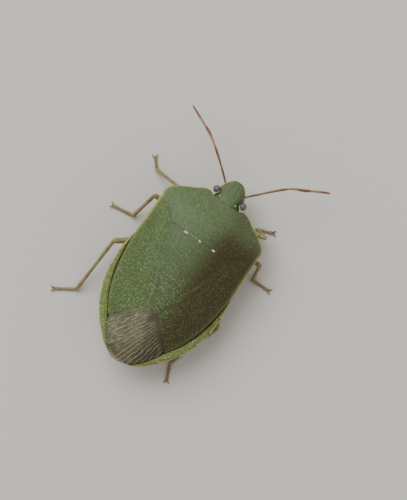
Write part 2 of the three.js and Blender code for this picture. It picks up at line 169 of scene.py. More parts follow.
BELLY_HEIGHT = Curve(
    (0.4, 1.75), (1.2, 1.4), (2.4, 1.1), (4.0, 1.02), (6.0, 1.0), (8.0, 1.05), (10.0, 1.35),
    (11.5, 1.5), (ABDOMEN_TAIL, 1.95),
)
SCUTELLUM_HALF = Curve(
    (SCUTELLUM_BASE, SCUTELLUM_CORNER), (4.2, 2.05), (5.1, 1.79), (6.1, 1.43), (6.9, 1.08),
    (7.5, 0.85), (8.1, 0.69), (8.5, 0.56), (8.78, 0.36), (8.9, 0.2), (SCUTELLUM_TIP, 0.02),
)
SHIELD_SIDE_REAR = Curve((2.2, SHIELD_REAR), (2.75, 2.84), (3.35, 2.46), (3.74, SHOULDER_REAR))
HEAD_HALF = Curve(
    (HEAD_TIP, 0.12), (-1.2, 0.3), (-1.0, 0.55), (-0.65, 0.81), (-0.29, 0.91), (0.0, 0.9),
    (HEAD_REAR, 0.98),
)
HEAD_TOP = Curve((HEAD_TIP, 2.24), (-1.0, 2.48), (-0.5, 2.78), (0.0, 3.0), (HEAD_REAR, 3.14))
HEAD_UNDER = Curve((HEAD_TIP, 2.1), (-1.0, 1.98), (-0.5, 1.85), (0.0, 1.72), (HEAD_REAR, 1.7))


def back(x: float, station: float) -> float:
    """Give the height of the closed back's upper surface."""
    across = min(abs(x) / max(WING_HALF(station), 1.2), 1.0)
    return mix(RIDGE_HEIGHT(station), EDGE_HEIGHT(station), across**DOME_POWER)


def droop(station: float) -> float:
    """Give how far the membranes sink below the even back near the tail."""
    return 0.26 * smooth((station - 11.9) / 0.8)


def plate_depth(x: float, station: float) -> float:
    """Give the thickness of the plates on the back, thin at the edge."""
    across = min(abs(x) / WING_HALF(station), 1.0)
    middle = mix(0.75, 0.45, smooth((station - 3.0) / 0.4))
    return mix(middle, EDGE_THICKNESS, across**4)


def capped(share: float, cap: float) -> tuple[float, float]:
    """Round off a loft's two ends.

    Args:
        share: place along the loft, 0 to 1.
        cap: share of the loft that each end takes.

    Returns:
        The place along the body between the ends, and how far the section has opened, both 0 to 1.
    """
    inner = min(max((share - cap) / (1 - 2 * cap), 0.0), 1.0)
    close = min(share, 1 - share, cap) / cap
    return inner, math.sqrt(1 - (1 - close) ** 2)


def polar(co: Vector) -> tuple[float, float]:
    """Give a unit ball's point as a share of the way from pole to pole and a turn in radians."""
    return math.acos(min(max(co.z, -1.0), 1.0)) / math.pi, math.atan2(co.y, co.x)


def placed(name: str, data: bpy.types.ID) -> bpy.types.Object:
    """Put a new object with this data in the scene."""
    made = bpy.data.objects.new(name, data)
    bpy.context.scene.collection.objects.link(made)
    return made


@lru_cache(maxsize=None)
def cell(x: float, station: float, size: float) -> tuple[float, float]:
    """Scatter points about one size apart.

    Args:
        x: place across, in millimetres.
        station: place along the body.
        size: mean distance between points.

    Returns:
        The distance to the nearest point as a share of size, and a number that is that point's own,
        about -1 to 1.
    """
    near, points = noise.voronoi(Vector((x / size, station / size, 0.0)))
    return near[0], noise.noise(points[0] * 5.7)


@dataclass(frozen=True)
class BodyPlan:
    """Where the animal's own plan lies in the frame."""

    axis: float
    zero: float

    @classmethod
    def read(cls) -> "BodyPlan":
        """Find the middle line from the scutellum and the stations from the head's tip."""
        low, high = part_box("scutellum")
        head_low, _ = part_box("head")
        return cls(axis=(low[0] + high[0]) / 2, zero=head_low[1] - HEAD_TIP * MM)

    def point(self, x: float, station: float, z: float) -> Vector:
        """Turn a place of the plan, in millimetres, into the frame's metres."""
        return Vector((self.axis + x * MM, self.zero + station * MM, z * MM))


PLAN = BodyPlan.read()
Shape = Callable[[float, float], tuple[float, float, float]]
Masks = Callable[[float, float, float], dict[str, float]]


class Skin:
    """A mesh under way, made of sheets, closed lofts and limbs, with masks for its material."""

    def __init__(self, *masks: str) -> None:
        """Start an empty mesh.

        Args:
            masks: names of the float attributes that the material reads.
        """
        self.bm = bmesh.new()
        self.layer = {name: self.bm.verts.layers.float.new(name) for name in masks}

    def mark(self, vert: bmesh.types.BMVert, values: dict[str, float]) -> None:
        """Write mask values on a vertex."""
        for name, value in values.items():
            vert[self.layer[name]] = value

    def sheet(
        self,
        columns: int,
        rows: int,
        place: Callable[[float, float], tuple[float, float]],
        upper: Callable[[float, float, float, float], float],
        lower: Callable[[float, float, float, float], float],
        masks: Callable[[float, float, float, float], dict[str, float]],
    ) -> None:
        """Add a plate between an upper and a lower surface.

        Args:
            columns: faces across.
            rows: faces along.
            place: gives x and station for u, -1 to 1 across, and v, 0 to 1 along.
            upper: gives the height of the upper face from x, station, u and v.
            lower: gives the height of the lower face from the same.
            masks: gives the upper face's mask values from the same.
        """
        made = bmesh.ops.create_grid(self.bm, x_segments=columns, y_segments=rows, size=1.0)
        top = made["verts"]
        where = {}
        faces = list({face for vert in top for face in vert.link_faces})
        copies = bmesh.ops.extrude_face_region(self.bm, geom=faces, use_keep_orig=True)["geom"]
        under = [item for item in copies if isinstance(item, bmesh.types.BMVert)]
        for vert in [*top, *under]:
            where[vert] = (vert.co.x, (vert.co.y + 1) / 2)
        for vert in top:
            u, v = where[vert]
            self.mark(vert, masks(*place(u, v), u, v))
        for verts, height in ((top, upper), (under, lower)):
            for vert in verts:
                u, v = where[vert]
                x, station = place(u, v)
                vert.co = PLAN.point(x, station, height(x, station, u, v))

    def loft(self, rings: int, sides: int, shape: Shape, masks: Masks) -> None:
        """Add a closed body: a ball whose poles are drawn out to the body's two ends.

        Args:
            rings: rings from end to end.
            sides: faces round.
            shape: gives x, station and height for the share of the length and the turn, in radians.
            masks: gives mask values from x, station and height.
        """
        made = bmesh.ops.create_uvsphere(self.bm, u_segments=sides, v_segments=rings, radius=1.0)
        for vert in made["verts"]:
            x, station, height = shape(*polar(vert.co))
            self.mark(vert, masks(x, station, height))
            vert.co = PLAN.point(x, station, height)

    def limb(
        self,
        path: Sequence[Vector],
        widths: Curve,
        rings: int = 36,
        sides: int = 20,
        flatten: float = 1.0,
        floor: float | None = None,
        values: Callable[[float], dict[str, float]] | None = None,
    ) -> None:
        """Add a rounded limb along a path.

        Args:
            path: points of the plan in millimetres, which the limb's middle follows smoothly.
            widths: width of the limb from 0, its root, to 1, its tip.
            rings: rings from end to end.
            sides: faces round.
            flatten: height of the section as a share of its width.
            floor: height that no point goes below.
            values: gives mask values from the share of the length.
        """
        made = bmesh.ops.create_uvsphere(self.bm, u_segments=sides, v_segments=rings, radius=1.0)
        length = sum((b - a).length for a, b in zip(path, path[1:]))
        for vert in made["verts"]:
            share, turn = polar(vert.co)
            centre, ahead = follow(path, share)
            aside = Vector((-ahead.y, ahead.x, 0.0)).normalized()
            above = aside.cross(ahead) if aside.cross(ahead).z > 0 else ahead.cross(aside)
            radius = widths(share) / 2
            end = min(share, 1 - share) * length / max(radius, 1e-3)
            rounding = math.sqrt(max(0.0, 1 - (1 - min(end, 1.0)) ** 2))
            co = centre + (aside * math.cos(turn) + above * math.sin(turn) * flatten) * radius * rounding
            if floor is not None:
                co.z = max(co.z, floor)
            if values:
                self.mark(vert, values(share))
            vert.co = PLAN.point(co.x, co.y, co.z)

    def bristle(self, root: Vector, tip: Vector, width: float, values: dict[str, float]) -> None:
        """Add one fine hair as a slim cone, from root to tip in the plan's millimetres."""
        start = PLAN.point(*root)
        end = PLAN.point(*tip)
        turn = Vector((0, 0, 1)).rotation_difference(end - start).to_matrix().to_4x4()
        made = bmesh.ops.create_cone(
            self.bm, cap_ends=True, segments=4, radius1=width * MM / 2, radius2=width * MM / 12,
            depth=(end - start).length, matrix=Matrix.Translation((start + end) / 2) @ turn,
        )
        for vert in made["verts"]:
            self.mark(vert, values)

    def finish(
        self, name: str, node: str, material: bpy.types.Material,
    ) -> None:
        """Close the mesh, put it in the scene under the root and hide the frame's node that it replaces.
            material: its finish.
        """
        bmesh.ops.remove_doubles(self.bm, verts=self.bm.verts[:], dist=1e-8)
        bmesh.ops.recalc_face_normals(self.bm, faces=self.bm.faces[:])
        mesh = bpy.data.meshes.new(name)
        self.bm.to_mesh(mesh)
        self.bm.free()
        mesh.polygons.foreach_set("use_smooth", [True] * len(mesh.polygons))
        mesh.set_sharp_from_angle(angle=math.radians(SHARP_ANGLE))
        mesh.materials.append(material)
        piece = placed(name, mesh)
        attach(piece, "root")
        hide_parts(node)
        LOG.info("%s: %d faces", name, len(mesh.polygons))


def follow(path: Sequence[Vector], share: float) -> tuple[Vector, Vector]:
    """Walk along a smooth line through points.

    Args:
        path: the points, at about equal steps.
        share: how far along, 0 to 1.

    Returns:
        The place and the direction there.
    """
    spans = len(path) - 1
    i = min(int(share * spans), spans - 1)
    s = share * spans - i
    p1, p2 = path[i], path[i + 1]
    p0 = path[i - 1] if i > 0 else p1 * 2 - p2
    p3 = path[i + 2] if i + 2 <= spans else p2 * 2 - p1
    a = p1 * 2
    b = p2 - p0
    c = p0 * 2 - p1 * 5 + p2 * 4 - p3
    d = p1 * 3 - p0 - p2 * 3 + p3
    place = (a + b * s + c * s**2 + d * s**3) / 2
    ahead = (b + c * 2 * s + d * 3 * s**2).normalized()
    return place, ahead


def outward(ahead: Vector, turn: float) -> Vector:
    """Give the direction that points out of a limb at a turn in radians round its own direction."""
    aside = Vector((-ahead.y, ahead.x, 0.0)).normalized()
    return aside * math.cos(turn) + aside.cross(ahead) * math.sin(turn)


class Link:
    """A socket's value, on which Python's arithmetic adds Math nodes."""

    def __init__(self, shader: "Shader", socket: bpy.types.NodeSocket) -> None:
        """Wrap a socket of a shader."""
        self.shader = shader
        self.socket = socket

    def math(self, operation: str, *values: "Link | float") -> "Link":
        """Add a Math node with these inputs."""
        return self.shader.node("ShaderNodeMath", {"operation": operation}, dict(enumerate(values)))

    def __add__(self, other: "Link | float") -> "Link":
        """Add."""
        return self.math("ADD", self, other)

    def __rsub__(self, other: float) -> "Link":
        """Subtract from a number."""
        return self.math("SUBTRACT", other, self)

    def __mul__(self, other: "Link | float") -> "Link":
        """Multiply."""
        return self.math("MULTIPLY", self, other)

    __radd__ = __add__
    __rmul__ = __mul__

    def between(self, low: float, high: float) -> "Link":
        """Rise smoothly from 0 at low to 1 at high, or fall where high is the smaller."""
        settings = {"interpolation_type": "SMOOTHSTEP"}
        return self.shader.node("ShaderNodeMapRange", settings, {0: self, 1: low, 2: high})


class Shader:
    """One material's nodes, with a Principled shader at their end."""

    def __init__(self, name: str, roughness: float, coat: float = 0.0, specular: float = 0.5) -> None:
        """Start a material.

        Args:
            name: its name.
            roughness: its even roughness.
            coat: strength of a clear coat.
            specular: how strongly it mirrors.
        """
        self.material = bpy.data.materials.new(name)
        self.material.use_nodes = True
        self.tree = self.material.node_tree
        self.surface = self.tree.nodes["Principled BSDF"]
        self.surface.inputs["Roughness"].default_value = roughness
        self.surface.inputs["Coat Weight"].default_value = coat
        self.surface.inputs["Coat Roughness"].default_value = 0.25
        self.surface.inputs["Specular IOR Level"].default_value = specular
        self.place = self.node("ShaderNodeTexCoord", {}, {}, "Object")

    def node(
        self, kind: str, settings: dict[str, object], inputs: dict[object, object],
        output: int | str = 0,
    ) -> Link:
        """Add any node.

        Args:
            kind: the node's type.
            settings: its properties, which are set first.
            inputs: values or links for its sockets, by number or name.
            output: the socket to give back.

        Returns:
            The wrapped output.
        """
        made = self.tree.nodes.new(kind)
        for name, value in settings.items():
            setattr(made, name, value)
        for key, value in inputs.items():
            if isinstance(value, Link):
                self.tree.links.new(value.socket, made.inputs[key])
            else:
                made.inputs[key].default_value = value
        return Link(self, made.outputs[output])

    def mask(self, name: str) -> Link:
        """Read one of the mesh's masks."""
        return self.node("ShaderNodeAttribute", {"attribute_name": name}, {}, "Fac")

    def noise(
        self, size: float, detail: float = 3.0, roughness: float = 0.55, place: Link | None = None,
    ) -> Link:
        """Add cloudy noise whose patches are about a size in millimetres."""
        values = {"Scale": 1 / (size * MM), "Detail": detail, "Roughness": roughness}
        values["Vector"] = place or self.place
        return self.node("ShaderNodeTexNoise", {}, values)

    def spots(self, size: float) -> Link:
        """Give the distance to the nearest of points scattered a size in millimetres apart."""
        return self.node("ShaderNodeTexVoronoi", {}, {"Vector": self.place, "Scale": 1 / (size * MM)})

    def blend(self, base: object, over: object, factor: object) -> Link:
        """Lay one colour over another."""
        settings = {"data_type": "RGBA"}
        return self.node("ShaderNodeMix", settings, {0: factor, 6: base, 7: over}, 2)

    def bump(self, height: Link, depth: float, before: Link | None = None) -> Link:
        """Turn a height of 0 to 1 into a relief of a depth in millimetres."""
        values = {"Height": height, "Distance": depth * MM, "Strength": 1.0}
        if before:
            values["Normal"] = before
        return self.node("ShaderNodeBump", {}, values)

    def wear(self, colour: Link, roughness: Link, relief: Link) -> bpy.types.Material:
        """Feed the surface and give the material back."""
        for name, link in (("Base Color", colour), ("Roughness", roughness), ("Normal", relief)):
            self.tree.links.new(link.socket, self.surface.inputs[name])
        return self.material


def rgb(red: float, green: float, blue: float) -> tuple[float, float, float, float]:
    """Turn a colour as seen, 0 to 255, into the light values that shaders use."""
    def linear(channel: float) -> float:
        """Undo the display curve of one channel."""
        c = channel / 255
        return c / 12.92 if c <= 0.04045 else ((c + 0.055) / 1.055) ** 2.4
    return (linear(red), linear(green), linear(blue), 1.0)


@dataclass(frozen=True)
class CuticleFinish:
    """Hard cuticle, thickly strewn with pale flecks, with pale margins and whitish spots."""

    name: str
    base: tuple[float, float, float]
    deep: tuple[float, float, float]
    warm: tuple[float, float, float] = (58, 46, 19)
    fleck: tuple[float, float, float] = (150, 168, 122)
    margin: tuple[float, float, float] = (206, 172, 122)
    glow: tuple[float, float, float] = (150, 162, 84)
    spot: tuple[float, float, float] = (198, 202, 174)
    dark: tuple[float, float, float] = (34, 36, 22)
    roughness: float = 0.5
    browning: float = 1.0
    brown_across: tuple[float, float] = (0.0, -0.0021)
    brown_along: tuple[float, float] = (-0.0032, -0.0016)
    deepening: tuple[float, float] = (-0.0022, -0.0006)

    def build(self) -> bpy.types.Material:
        """Build the material, browner towards the right side of the back: painted shade and painted
        reflection.
        """
        shader = Shader(self.name, self.roughness, 0.03, 0.28)
        cloud = shader.noise(1.3)
        grain = shader.noise(0.1, 2.0)
        fine = shader.noise(0.035, 2.0)
        lengthened = shader.node("ShaderNodeVectorMath", {"operation": "MULTIPLY"},
                                 {0: shader.place, 1: (1.0, 0.6, 1.0)})
        grit = shader.noise(0.07, 1.0, 0.5, lengthened)
        across = shader.node("ShaderNodeSeparateXYZ", {}, {0: shader.place}, 0)
        along = shader.node("ShaderNodeSeparateXYZ", {}, {0: shader.place}, 1)
        # Painted shade and painted reflection: the right side of the back is made browner and darker.
        brown = across.between(*self.brown_across) * (along.between(*self.brown_along) * 0.55 + 0.45)
        brown = brown * self.browning
        # Painted shade: the back is made darker from near the pronotum's rear edge backwards.
        colour = shader.blend(rgb(*self.base), rgb(*self.deep), along.between(*self.deepening) * 0.4)
        colour = shader.blend(colour, rgb(*self.warm), brown)
        colour = shader.blend(colour, rgb(*self.warm), cloud.between(0.45, 0.8) * 0.25)
        colour = shader.blend(colour, rgb(*self.deep), grain.between(0.6, 0.3) * 0.4)
        # Painted shade: the punctures are darkened.
        colour = shader.blend(colour, rgb(*self.deep), shader.mask("pit") * 0.4)
        colour = shader.blend(colour, rgb(*self.glow), shader.mask("glow"))
        # Fewer pale flecks where the right side is painted in shade.
        strewn = grit.between(0.5, 0.68) * shader.mask("fleck") * (0.55 - brown * 0.3)
        colour = shader.blend(colour, rgb(*self.fleck), strewn)
        colour = shader.blend(colour, rgb(*self.margin), shader.mask("margin"))
        colour = shader.blend(colour, rgb(*self.spot), shader.mask("spot"))
        colour = shader.blend(colour, rgb(*self.dark), shader.mask("dark"))
        roughness = grain * 0.25 + (self.roughness - 0.1)
        return shader.wear(colour, roughness, shader.bump(fine, 0.006, shader.bump(grit, 0.012)))


CUTICLE_MASKS = ("pit", "fleck", "glow", "margin", "spot", "dark")


@dataclass(frozen=True)
class MembraneFinish:
    """Thin, greyish brown wing membrane with pale veins and wrinkles; the wrinkles' crests are painted
    paler and the troughs darker, as painted highlight and painted shade.
    """

    base: tuple[float, float, float] = (112, 112, 86)
    brown: tuple[float, float, float] = (64, 52, 33)
    ridge: tuple[float, float, float] = (172, 172, 142)
    valley: tuple[float, float, float] = (56, 54, 34)
    tail: tuple[float, float, float] = (152, 128, 106)

    def build(self) -> bpy.types.Material:
        """Build the material."""
        shader = Shader("wing_membrane", 0.5, 0.04, 0.35)
        cloud = shader.noise(0.7)
        grain = shader.noise(0.1, 3.0)
        colour = shader.blend(rgb(*self.base), rgb(*self.brown), cloud.between(0.35, 0.75) * 0.6)
        colour = shader.blend(colour, rgb(*self.brown), shader.mask("brown"))
        colour = shader.blend(colour, rgb(*self.tail), shader.mask("tail"))
        # Painted shade in the troughs and a painted highlight on the wrinkles' crests; the veins are paler
        # in their own right.
        colour = shader.blend(colour, rgb(*self.valley), shader.mask("valley") * 0.7)
        colour = shader.blend(colour, rgb(*self.ridge), shader.mask("ridge") * 0.7)
        roughness = grain * 0.3 + 0.35
        return shader.wear(colour, roughness, shader.bump(grain, 0.012))


@dataclass(frozen=True)
class EyeFinish:
    """Dark facets with a purplish shine; the grey-purple base colour is partly their own and partly a
    painted sheen.
    """

    base: tuple[float, float, float] = (126, 114, 122)
    dark: tuple[float, float, float] = (66, 54, 64)

    def build(self) -> bpy.types.Material:
        """Build the material."""
        shader = Shader("compound_eye", 0.22, 0.5)
        facet = shader.spots(0.032)
        colour = shader.blend(rgb(*self.base), rgb(*self.dark), facet.between(0.3, 0.65))
        colour = shader.blend(colour, rgb(*self.dark), shader.noise(0.3).between(0.45, 0.75) * 0.6)
        roughness = facet * 0.2 + 0.15
        return shader.wear(colour, roughness, shader.bump(facet.between(0.6, 0.1), 0.004))


@dataclass(frozen=True)
class LimbFinish:
    """Translucent-looking cuticle of legs, beak and antennae, banded where the band mask says."""

    name: str
    base: tuple[float, float, float]
    shade: tuple[float, float, float]
    band: tuple[float, float, float] = (112, 52, 30)
    pale: tuple[float, float, float] = (160, 140, 84)
    tip: tuple[float, float, float] = (30, 20, 16)

    def build(self) -> bpy.types.Material:
        """Build the material."""
        shader = Shader(self.name, 0.42, 0.08)
        cloud = shader.noise(0.4)
        grain = shader.noise(0.06, 2.0)
        colour = shader.blend(rgb(*self.base), rgb(*self.shade), cloud.between(0.4, 0.7))
        colour = shader.blend(colour, rgb(*self.shade), grain.between(0.55, 0.3) * 0.5)
        colour = shader.blend(colour, rgb(*self.pale), shader.mask("pale"))
        colour = shader.blend(colour, rgb(*self.band), shader.mask("band"))
        colour = shader.blend(colour, rgb(*self.tip), shader.mask("tip"))
        return shader.wear(colour, grain * 0.25 + 0.3, shader.bump(grain, 0.008))


LIMB_MASKS = ("pale", "band", "tip")


def pits(x: float, station: float, size: float = 0.15) -> float:
    """Work out the punctures.

    Args:
        x: place across.
        station: place along the body.
        size: mean distance between punctures.

    Returns:
        How much of a pit lies there, 0 to 1.
    """
    near, own = cell(x, station, size)
    return (1 - smooth(near / 0.5)) * smooth(own * 2 + 0.9)


def rolled(distance: float, radius: float) -> float:
    """Give how far an edge has rolled down at a distance from its end."""
    near = min(max(distance, 0.0) / radius, 1.0)
    return radius * (1 - math.sqrt(max(0.0, 1 - (1 - near) ** 2)))


@dataclass
class Edges:
    """Distances, in millimetres, to a plate's three kinds of edge."""

    free: float
    over: float = 9.0
    under: float = 9.0


@dataclass
class Plate:
    """A hard plate of the back. Its kinds give their own outline, relief and marks."""

    name: str
    node: str
    slot: str
    columns: int
    rows: int
    pit_depth: float = 0.014
    roll: float = 0.09
    lap_roll: float = 0.016
    sink: float = 0.035

    def place(self, u: float, v: float) -> tuple[float, float]:
        """Give x and station for u across, -1 to 1, and v along, 0 to 1."""
        raise NotImplementedError

    def relief(self, x: float, station: float, u: float, v: float) -> float:
        """Give how far the plate stands above the even back."""
        raise NotImplementedError

    def edges(self, x: float, station: float, u: float, v: float) -> Edges:
        """Give the distances to the free edge, the one that laps over and the one tucked under."""
        raise NotImplementedError

    def marks(self, x: float, station: float, u: float, v: float) -> dict[str, float]:
        """Give the plate's own marks."""
        raise NotImplementedError

    def texture(self, x: float, station: float, u: float, v: float) -> dict[str, float]:
        """Give all masks: punctures and flecks, kept off the plate's marks."""
        masks = dict.fromkeys(CUTICLE_MASKS, 0.0)
        masks.update(self.marks(x, station, u, v))
        masks["pit"] = pits(x, station) * (1 - masks["margin"]) * (1 - masks["spot"])
        return masks

    def upper(self, x: float, station: float, u: float, v: float) -> float:
        """Give the height of the upper face, rolled down or sunk at the edges and punctured."""
        edges = self.edges(x, station, u, v)
        drop = rolled(edges.free, self.roll) + rolled(edges.over, self.lap_roll)
        drop += self.sink * (1 - smooth((edges.under - TUCK) / 0.12))
        fine = self.pit_depth * pits(x, station) * smooth(min(edges.free, edges.over) / 0.08)
        return back(x, station) + self.relief(x, station, u, v) - drop - fine

    def lower(self, x: float, station: float, u: float, v: float) -> float:
        """Give the height of the under face, which meets the rolled edge."""
        thin = plate_depth(x, station) - self.roll
        lift = rolled(self.edges(x, station, u, v).free, 0.35) / 0.35
        return back(x, station) - plate_depth(x, station) + 0.7 * lift * thin

    def build(self, material: bpy.types.Material) -> None:
        """Make the plate."""
        skin = Skin(*CUTICLE_MASKS)
        skin.sheet(self.columns, self.rows, self.place, self.upper, self.lower, self.texture)
        skin.finish(self.name, self.node, material)


@dataclass
class Pronotum(Plate):
    """The broad shield behind the head, with a pale edge."""

    front_x: Curve = Curve((0, 0), (0.36, 1.39), (0.6, 2.3), (0.82, 3.16), (0.94, 3.58), (1, 3.72))
    front_station: Curve = Curve(
        (0, 0.42), (0.22, 0.39), (0.36, 0.22), (0.6, 0.66), (0.82, 1.14), (0.94, 1.48), (1, 1.78),
    )
    rear_x: Curve = Curve((0, 0), (0.58, 2.2), (0.75, 2.75), (0.9, 3.35), (1, 3.72))

    def rear_station(self, a: float) -> float:
        """Give the station of the rear edge, straight behind the middle."""
        x = self.rear_x(a)
        return SHIELD_REAR if x <= SCUTELLUM_CORNER else SHIELD_SIDE_REAR(x)

    def place(self, u: float, v: float) -> tuple[float, float]:
        """Give x and station."""
        a = abs(u)
        shoulder = 0.05 * math.sin(math.pi * v) * smooth((a - 0.9) / 0.1)
        x = math.copysign(mix(self.front_x(a), self.rear_x(a), v) + shoulder, u)
        return x, mix(self.front_station(a), self.rear_station(a), v)

    def relief(self, x: float, station: float, u: float, v: float) -> float:
        """Swell gently, with two smooth pads behind the head and a dip along the side edges."""
        swell = 0.06 * math.sin(math.pi * v) * (1 - u * u)
        pads = 0.045 * hump(abs(x) - 0.85, 1.1) * hump(station - 0.95, 0.6)
        crease = -0.03 * hump(station - 1.5 + 0.12 * abs(x), 0.5) * (1 - abs(u) ** 4)
        free = self.edges(x, station, u, v).free
        rim = 0.03 * hump(free - 0.1, 0.16) * smooth((abs(u) - 0.3) / 0.2)
        return swell + pads + crease + rim * smooth((1 - v) / 0.1)

    def edges(self, x: float, station: float, u: float, v: float) -> Edges:
        """Give the free front and sides, and the rear that laps over wings and scutellum."""
        a = abs(u)
        depth = self.rear_station(a) - self.front_station(a)
        return Edges(min(v * depth, (1 - a) * 3.72), (1 - v) * depth)

    def marks(self, x: float, station: float, u: float, v: float) -> dict[str, float]:
        """Paint the pale side edge and the yellower strip inside it."""
        free = self.edges(x, station, u, v).free
        along = smooth((abs(u) - 0.33) / 0.05)
        margin = 0.8 * along * (1 - smooth((free - 0.02) / 0.05))
        glow = 0.5 * along * (1 - smooth((free - 0.05) / 0.2)) * smooth((abs(u) - 0.7) / 0.3)
        flecks = 0.45 + 0.2 * smooth((abs(u) - 0.5) / 0.5)
        return {"margin": margin, "glow": glow, "fleck": flecks}


@dataclass
class Scutellum(Plate):
    """The long triangle between the wings, with three whitish spots along its base."""

    spots: tuple[tuple[float, float], ...] = ((-1.06, 0.078), (0.0, 0.06), (1.06, 0.085))

    def place(self, u: float, v: float) -> tuple[float, float]:
        """Give x and station."""
        station = mix(SCUTELLUM_BASE, SCUTELLUM_TIP, v)
        return u * SCUTELLUM_HALF(station), station

    def edges(self, x: float, station: float, u: float, v: float) -> Edges:
        """Give the sides and tip, which lap over the wings, and the tucked base."""
        over = min(SCUTELLUM_HALF(station) - abs(x), (SCUTELLUM_TIP - station) * 0.8)
        return Edges(9.0, over, station - SCUTELLUM_BASE)

    def relief(self, x: float, station: float, u: float, v: float) -> float:
        """Swell gently, more so near the base, and stand up at the tip."""
        swell = 0.06 * (1 - u**4) * (1 - v**6) * smooth((station - SHIELD_REAR) / 0.8)
        tip = 0.03 * smooth((station - 7.5) / 1.0) * (1 - v**8)
        side = 0.03 * self.fold(x, station)
        return swell + tip + side + 0.03 * (1 - u * u) * hump(station - 5.2, 3.0)

    def fold(self, x: float, station: float) -> float:
        """Give the rounded fold along the rear of the left edge, 1 on its crest."""
        inward = SCUTELLUM_HALF(station) - x
        return hump(inward - 0.1, 0.24) * smooth((station - 5.6) / 1.6)

    def marks(self, x: float, station: float, u: float, v: float) -> dict[str, float]:
        """Paint the whitish spots, the line between two of them and a pale edge, with a painted highlight
        on the left fold's crest and painted shade inside that fold.
        """
        spot = 0.0
        for middle, size in self.spots:
            dx = (x - middle) / (size * 1.65)
            dy = (station - SHIELD_REAR - 0.06) / size
            spot = max(spot, 1 - smooth((math.hypot(dx, dy) - 0.6) / 0.6))
        line = (1 - smooth((station - SHIELD_REAR - 0.01) / 0.04)) * smooth(x / 0.05)
        spot = max(spot, 0.5 * line * smooth((1.25 - x) / 0.1))
        pale = 1 - smooth((SCUTELLUM_HALF(station) - abs(x) - 0.015) / 0.04)
        right = smooth(-x / 0.2) * hump(station - 6.4, 2.6)
        # Painted shade: a darker strip inside the left fold, beside its crest.
        beside = hump(SCUTELLUM_HALF(station) - x - 0.34, 0.36) * smooth((station - 5.8) / 1.2)
        # The fold's crest gets a little of the spot colour: painted highlight.
        return {
            "spot": max(spot, 0.07 * self.fold(x, station)), "glow": 0.5 * pale * right,
            "fleck": mix(0.35, 1.0, smooth((station - 4.5) / 3.0)), "dark": 0.25 * beside,
        }


APEX_BOW = 0.07
TIP_OUTLINE = Curve((0, SCUTELLUM_TIP), (0.2, 8.9), (0.36, 8.78), WING_INNER_CORNER)


@dataclass
class Corium(Plate):
    """The leathery part of a forewing, with a folded inner strip and raised veins."""

    side: Side = Side.LEFT
    outer_station: Curve = Curve((0, SHOULDER_REAR - TUCK), (0.45, 5.4), (1, WING_CORNER[1]))

    def inner(self, v: float) -> tuple[float, float]:
        """Give the inner edge, which runs down the scutellum."""
        station = mix(SHIELD_REAR - TUCK, WING_INNER_CORNER[1], v)
        return SCUTELLUM_HALF(station) - TUCK, station

    def place(self, u: float, v: float) -> tuple[float, float]:
        """Give x and station. u is -1 at the inner edge and 1 at the outer."""
        across = (u + 1) / 2
        inner_x, inner_station = self.inner(v)
        outer_station = self.outer_station(v)
        outer_x = WING_HALF(outer_station) - 0.01 - TUCK * (1 - smooth(v / 0.03))
        front_x = mix(inner_x, outer_x, across)
        straight = mix(SHIELD_REAR, SHOULDER_REAR, across)
        hollow = (SHIELD_SIDE_REAR(front_x) - straight) * (1 - v) ** 6
        belly = APEX_BOW * math.sin(math.pi * across) * v**4
        x = self.side.value * mix(inner_x, outer_x, across)
        return x, mix(inner_station, outer_station, across) + hollow + belly

    def edges(self, x: float, station: float, u: float, v: float) -> Edges:
        """Give the free outer edge, the rear one over the membrane and the tucked front and inside."""
        across = (u + 1) / 2
        inner_x, _ = self.inner(v)
        width = WING_HALF(self.outer_station(v)) - inner_x
        return Edges((1 - across) * width, (1 - v) * 6.5, min(across * width, v * 6.5))

    def relief(self, x: float, station: float, u: float, v: float) -> float:
        """Raise the two veins, press in the fold line and thicken the outer edge."""
        across = (u + 1) / 2
        fold = -0.035 * hump(across - self.fold(v), 0.08) * smooth((0.97 - v) / 0.1)
        outer = 0.03 * hump(across - 0.74 + 0.1 * (1 - v), 0.16) * smooth(v / 0.2)
        inner = 0.02 * hump(across - 0.5 + 0.12 * (1 - v), 0.14) * smooth((v - 0.15) / 0.3)
        rim = 0.03 * hump(1 - across, 0.08) * smooth(v / 0.1)
        return fold * smooth(v / 0.1) + outer + inner + rim

    def fold(self, v: float) -> float:
        """Give where the inner strip's fold line crosses, which nears the edge towards the rear."""
        return mix(0.34, 0.07, v)

    def marks(self, x: float, station: float, u: float, v: float) -> dict[str, float]:
        """Paint the pale outer edge, the yellower strip inside it, which is painted brighter on the lit
        left side as painted light, and the dark dot at the corner.
        """
        free = self.edges(x, station, u, v).free
        front = smooth((6.2 - station) / 2.4)
        margin = (0.2 + 0.6 * front) * (1 - smooth((free - 0.02) / 0.04))
        # Painted light: the yellow strip inside the edge is stronger on the lit left side.
        lit = 0.6 if self.side is Side.LEFT else 0.25
        glow = (0.1 + lit * front) * (1 - smooth((free - 0.05) / 0.22))
        dot = 1 - smooth((math.hypot(abs(x) - 2.33, station - 3.55) - 0.04) / 0.06)
        return {"margin": margin, "glow": glow, "dark": 0.6 * dot, "fleck": mix(0.55, 0.9, v)}


def chevron(x: float) -> float:
    """Give the station of the leathery parts' rear edges, with the scutellum's tip between them."""
    inner_x, inner_station = WING_INNER_CORNER
    if abs(x) < inner_x:
        return TIP_OUTLINE(abs(x))
    share = min((abs(x) - inner_x) / (WING_CORNER[0] - inner_x), 1.0)
    return mix(inner_station, WING_CORNER[1], share) + APEX_BOW * math.sin(math.pi * share)


def tail_at(x: float) -> float:
    """Find the station where the folded wings have narrowed to a half width."""
    front, rear = 9.5, WING_TAIL
    for _ in range(30):
        middle = (front + rear) / 2
        if WING_HALF(middle) > abs(x):
            front = middle
        else:
            rear = middle
    return front


MEMBRANE_MASKS = ("ridge", "valley", "brown", "tail")


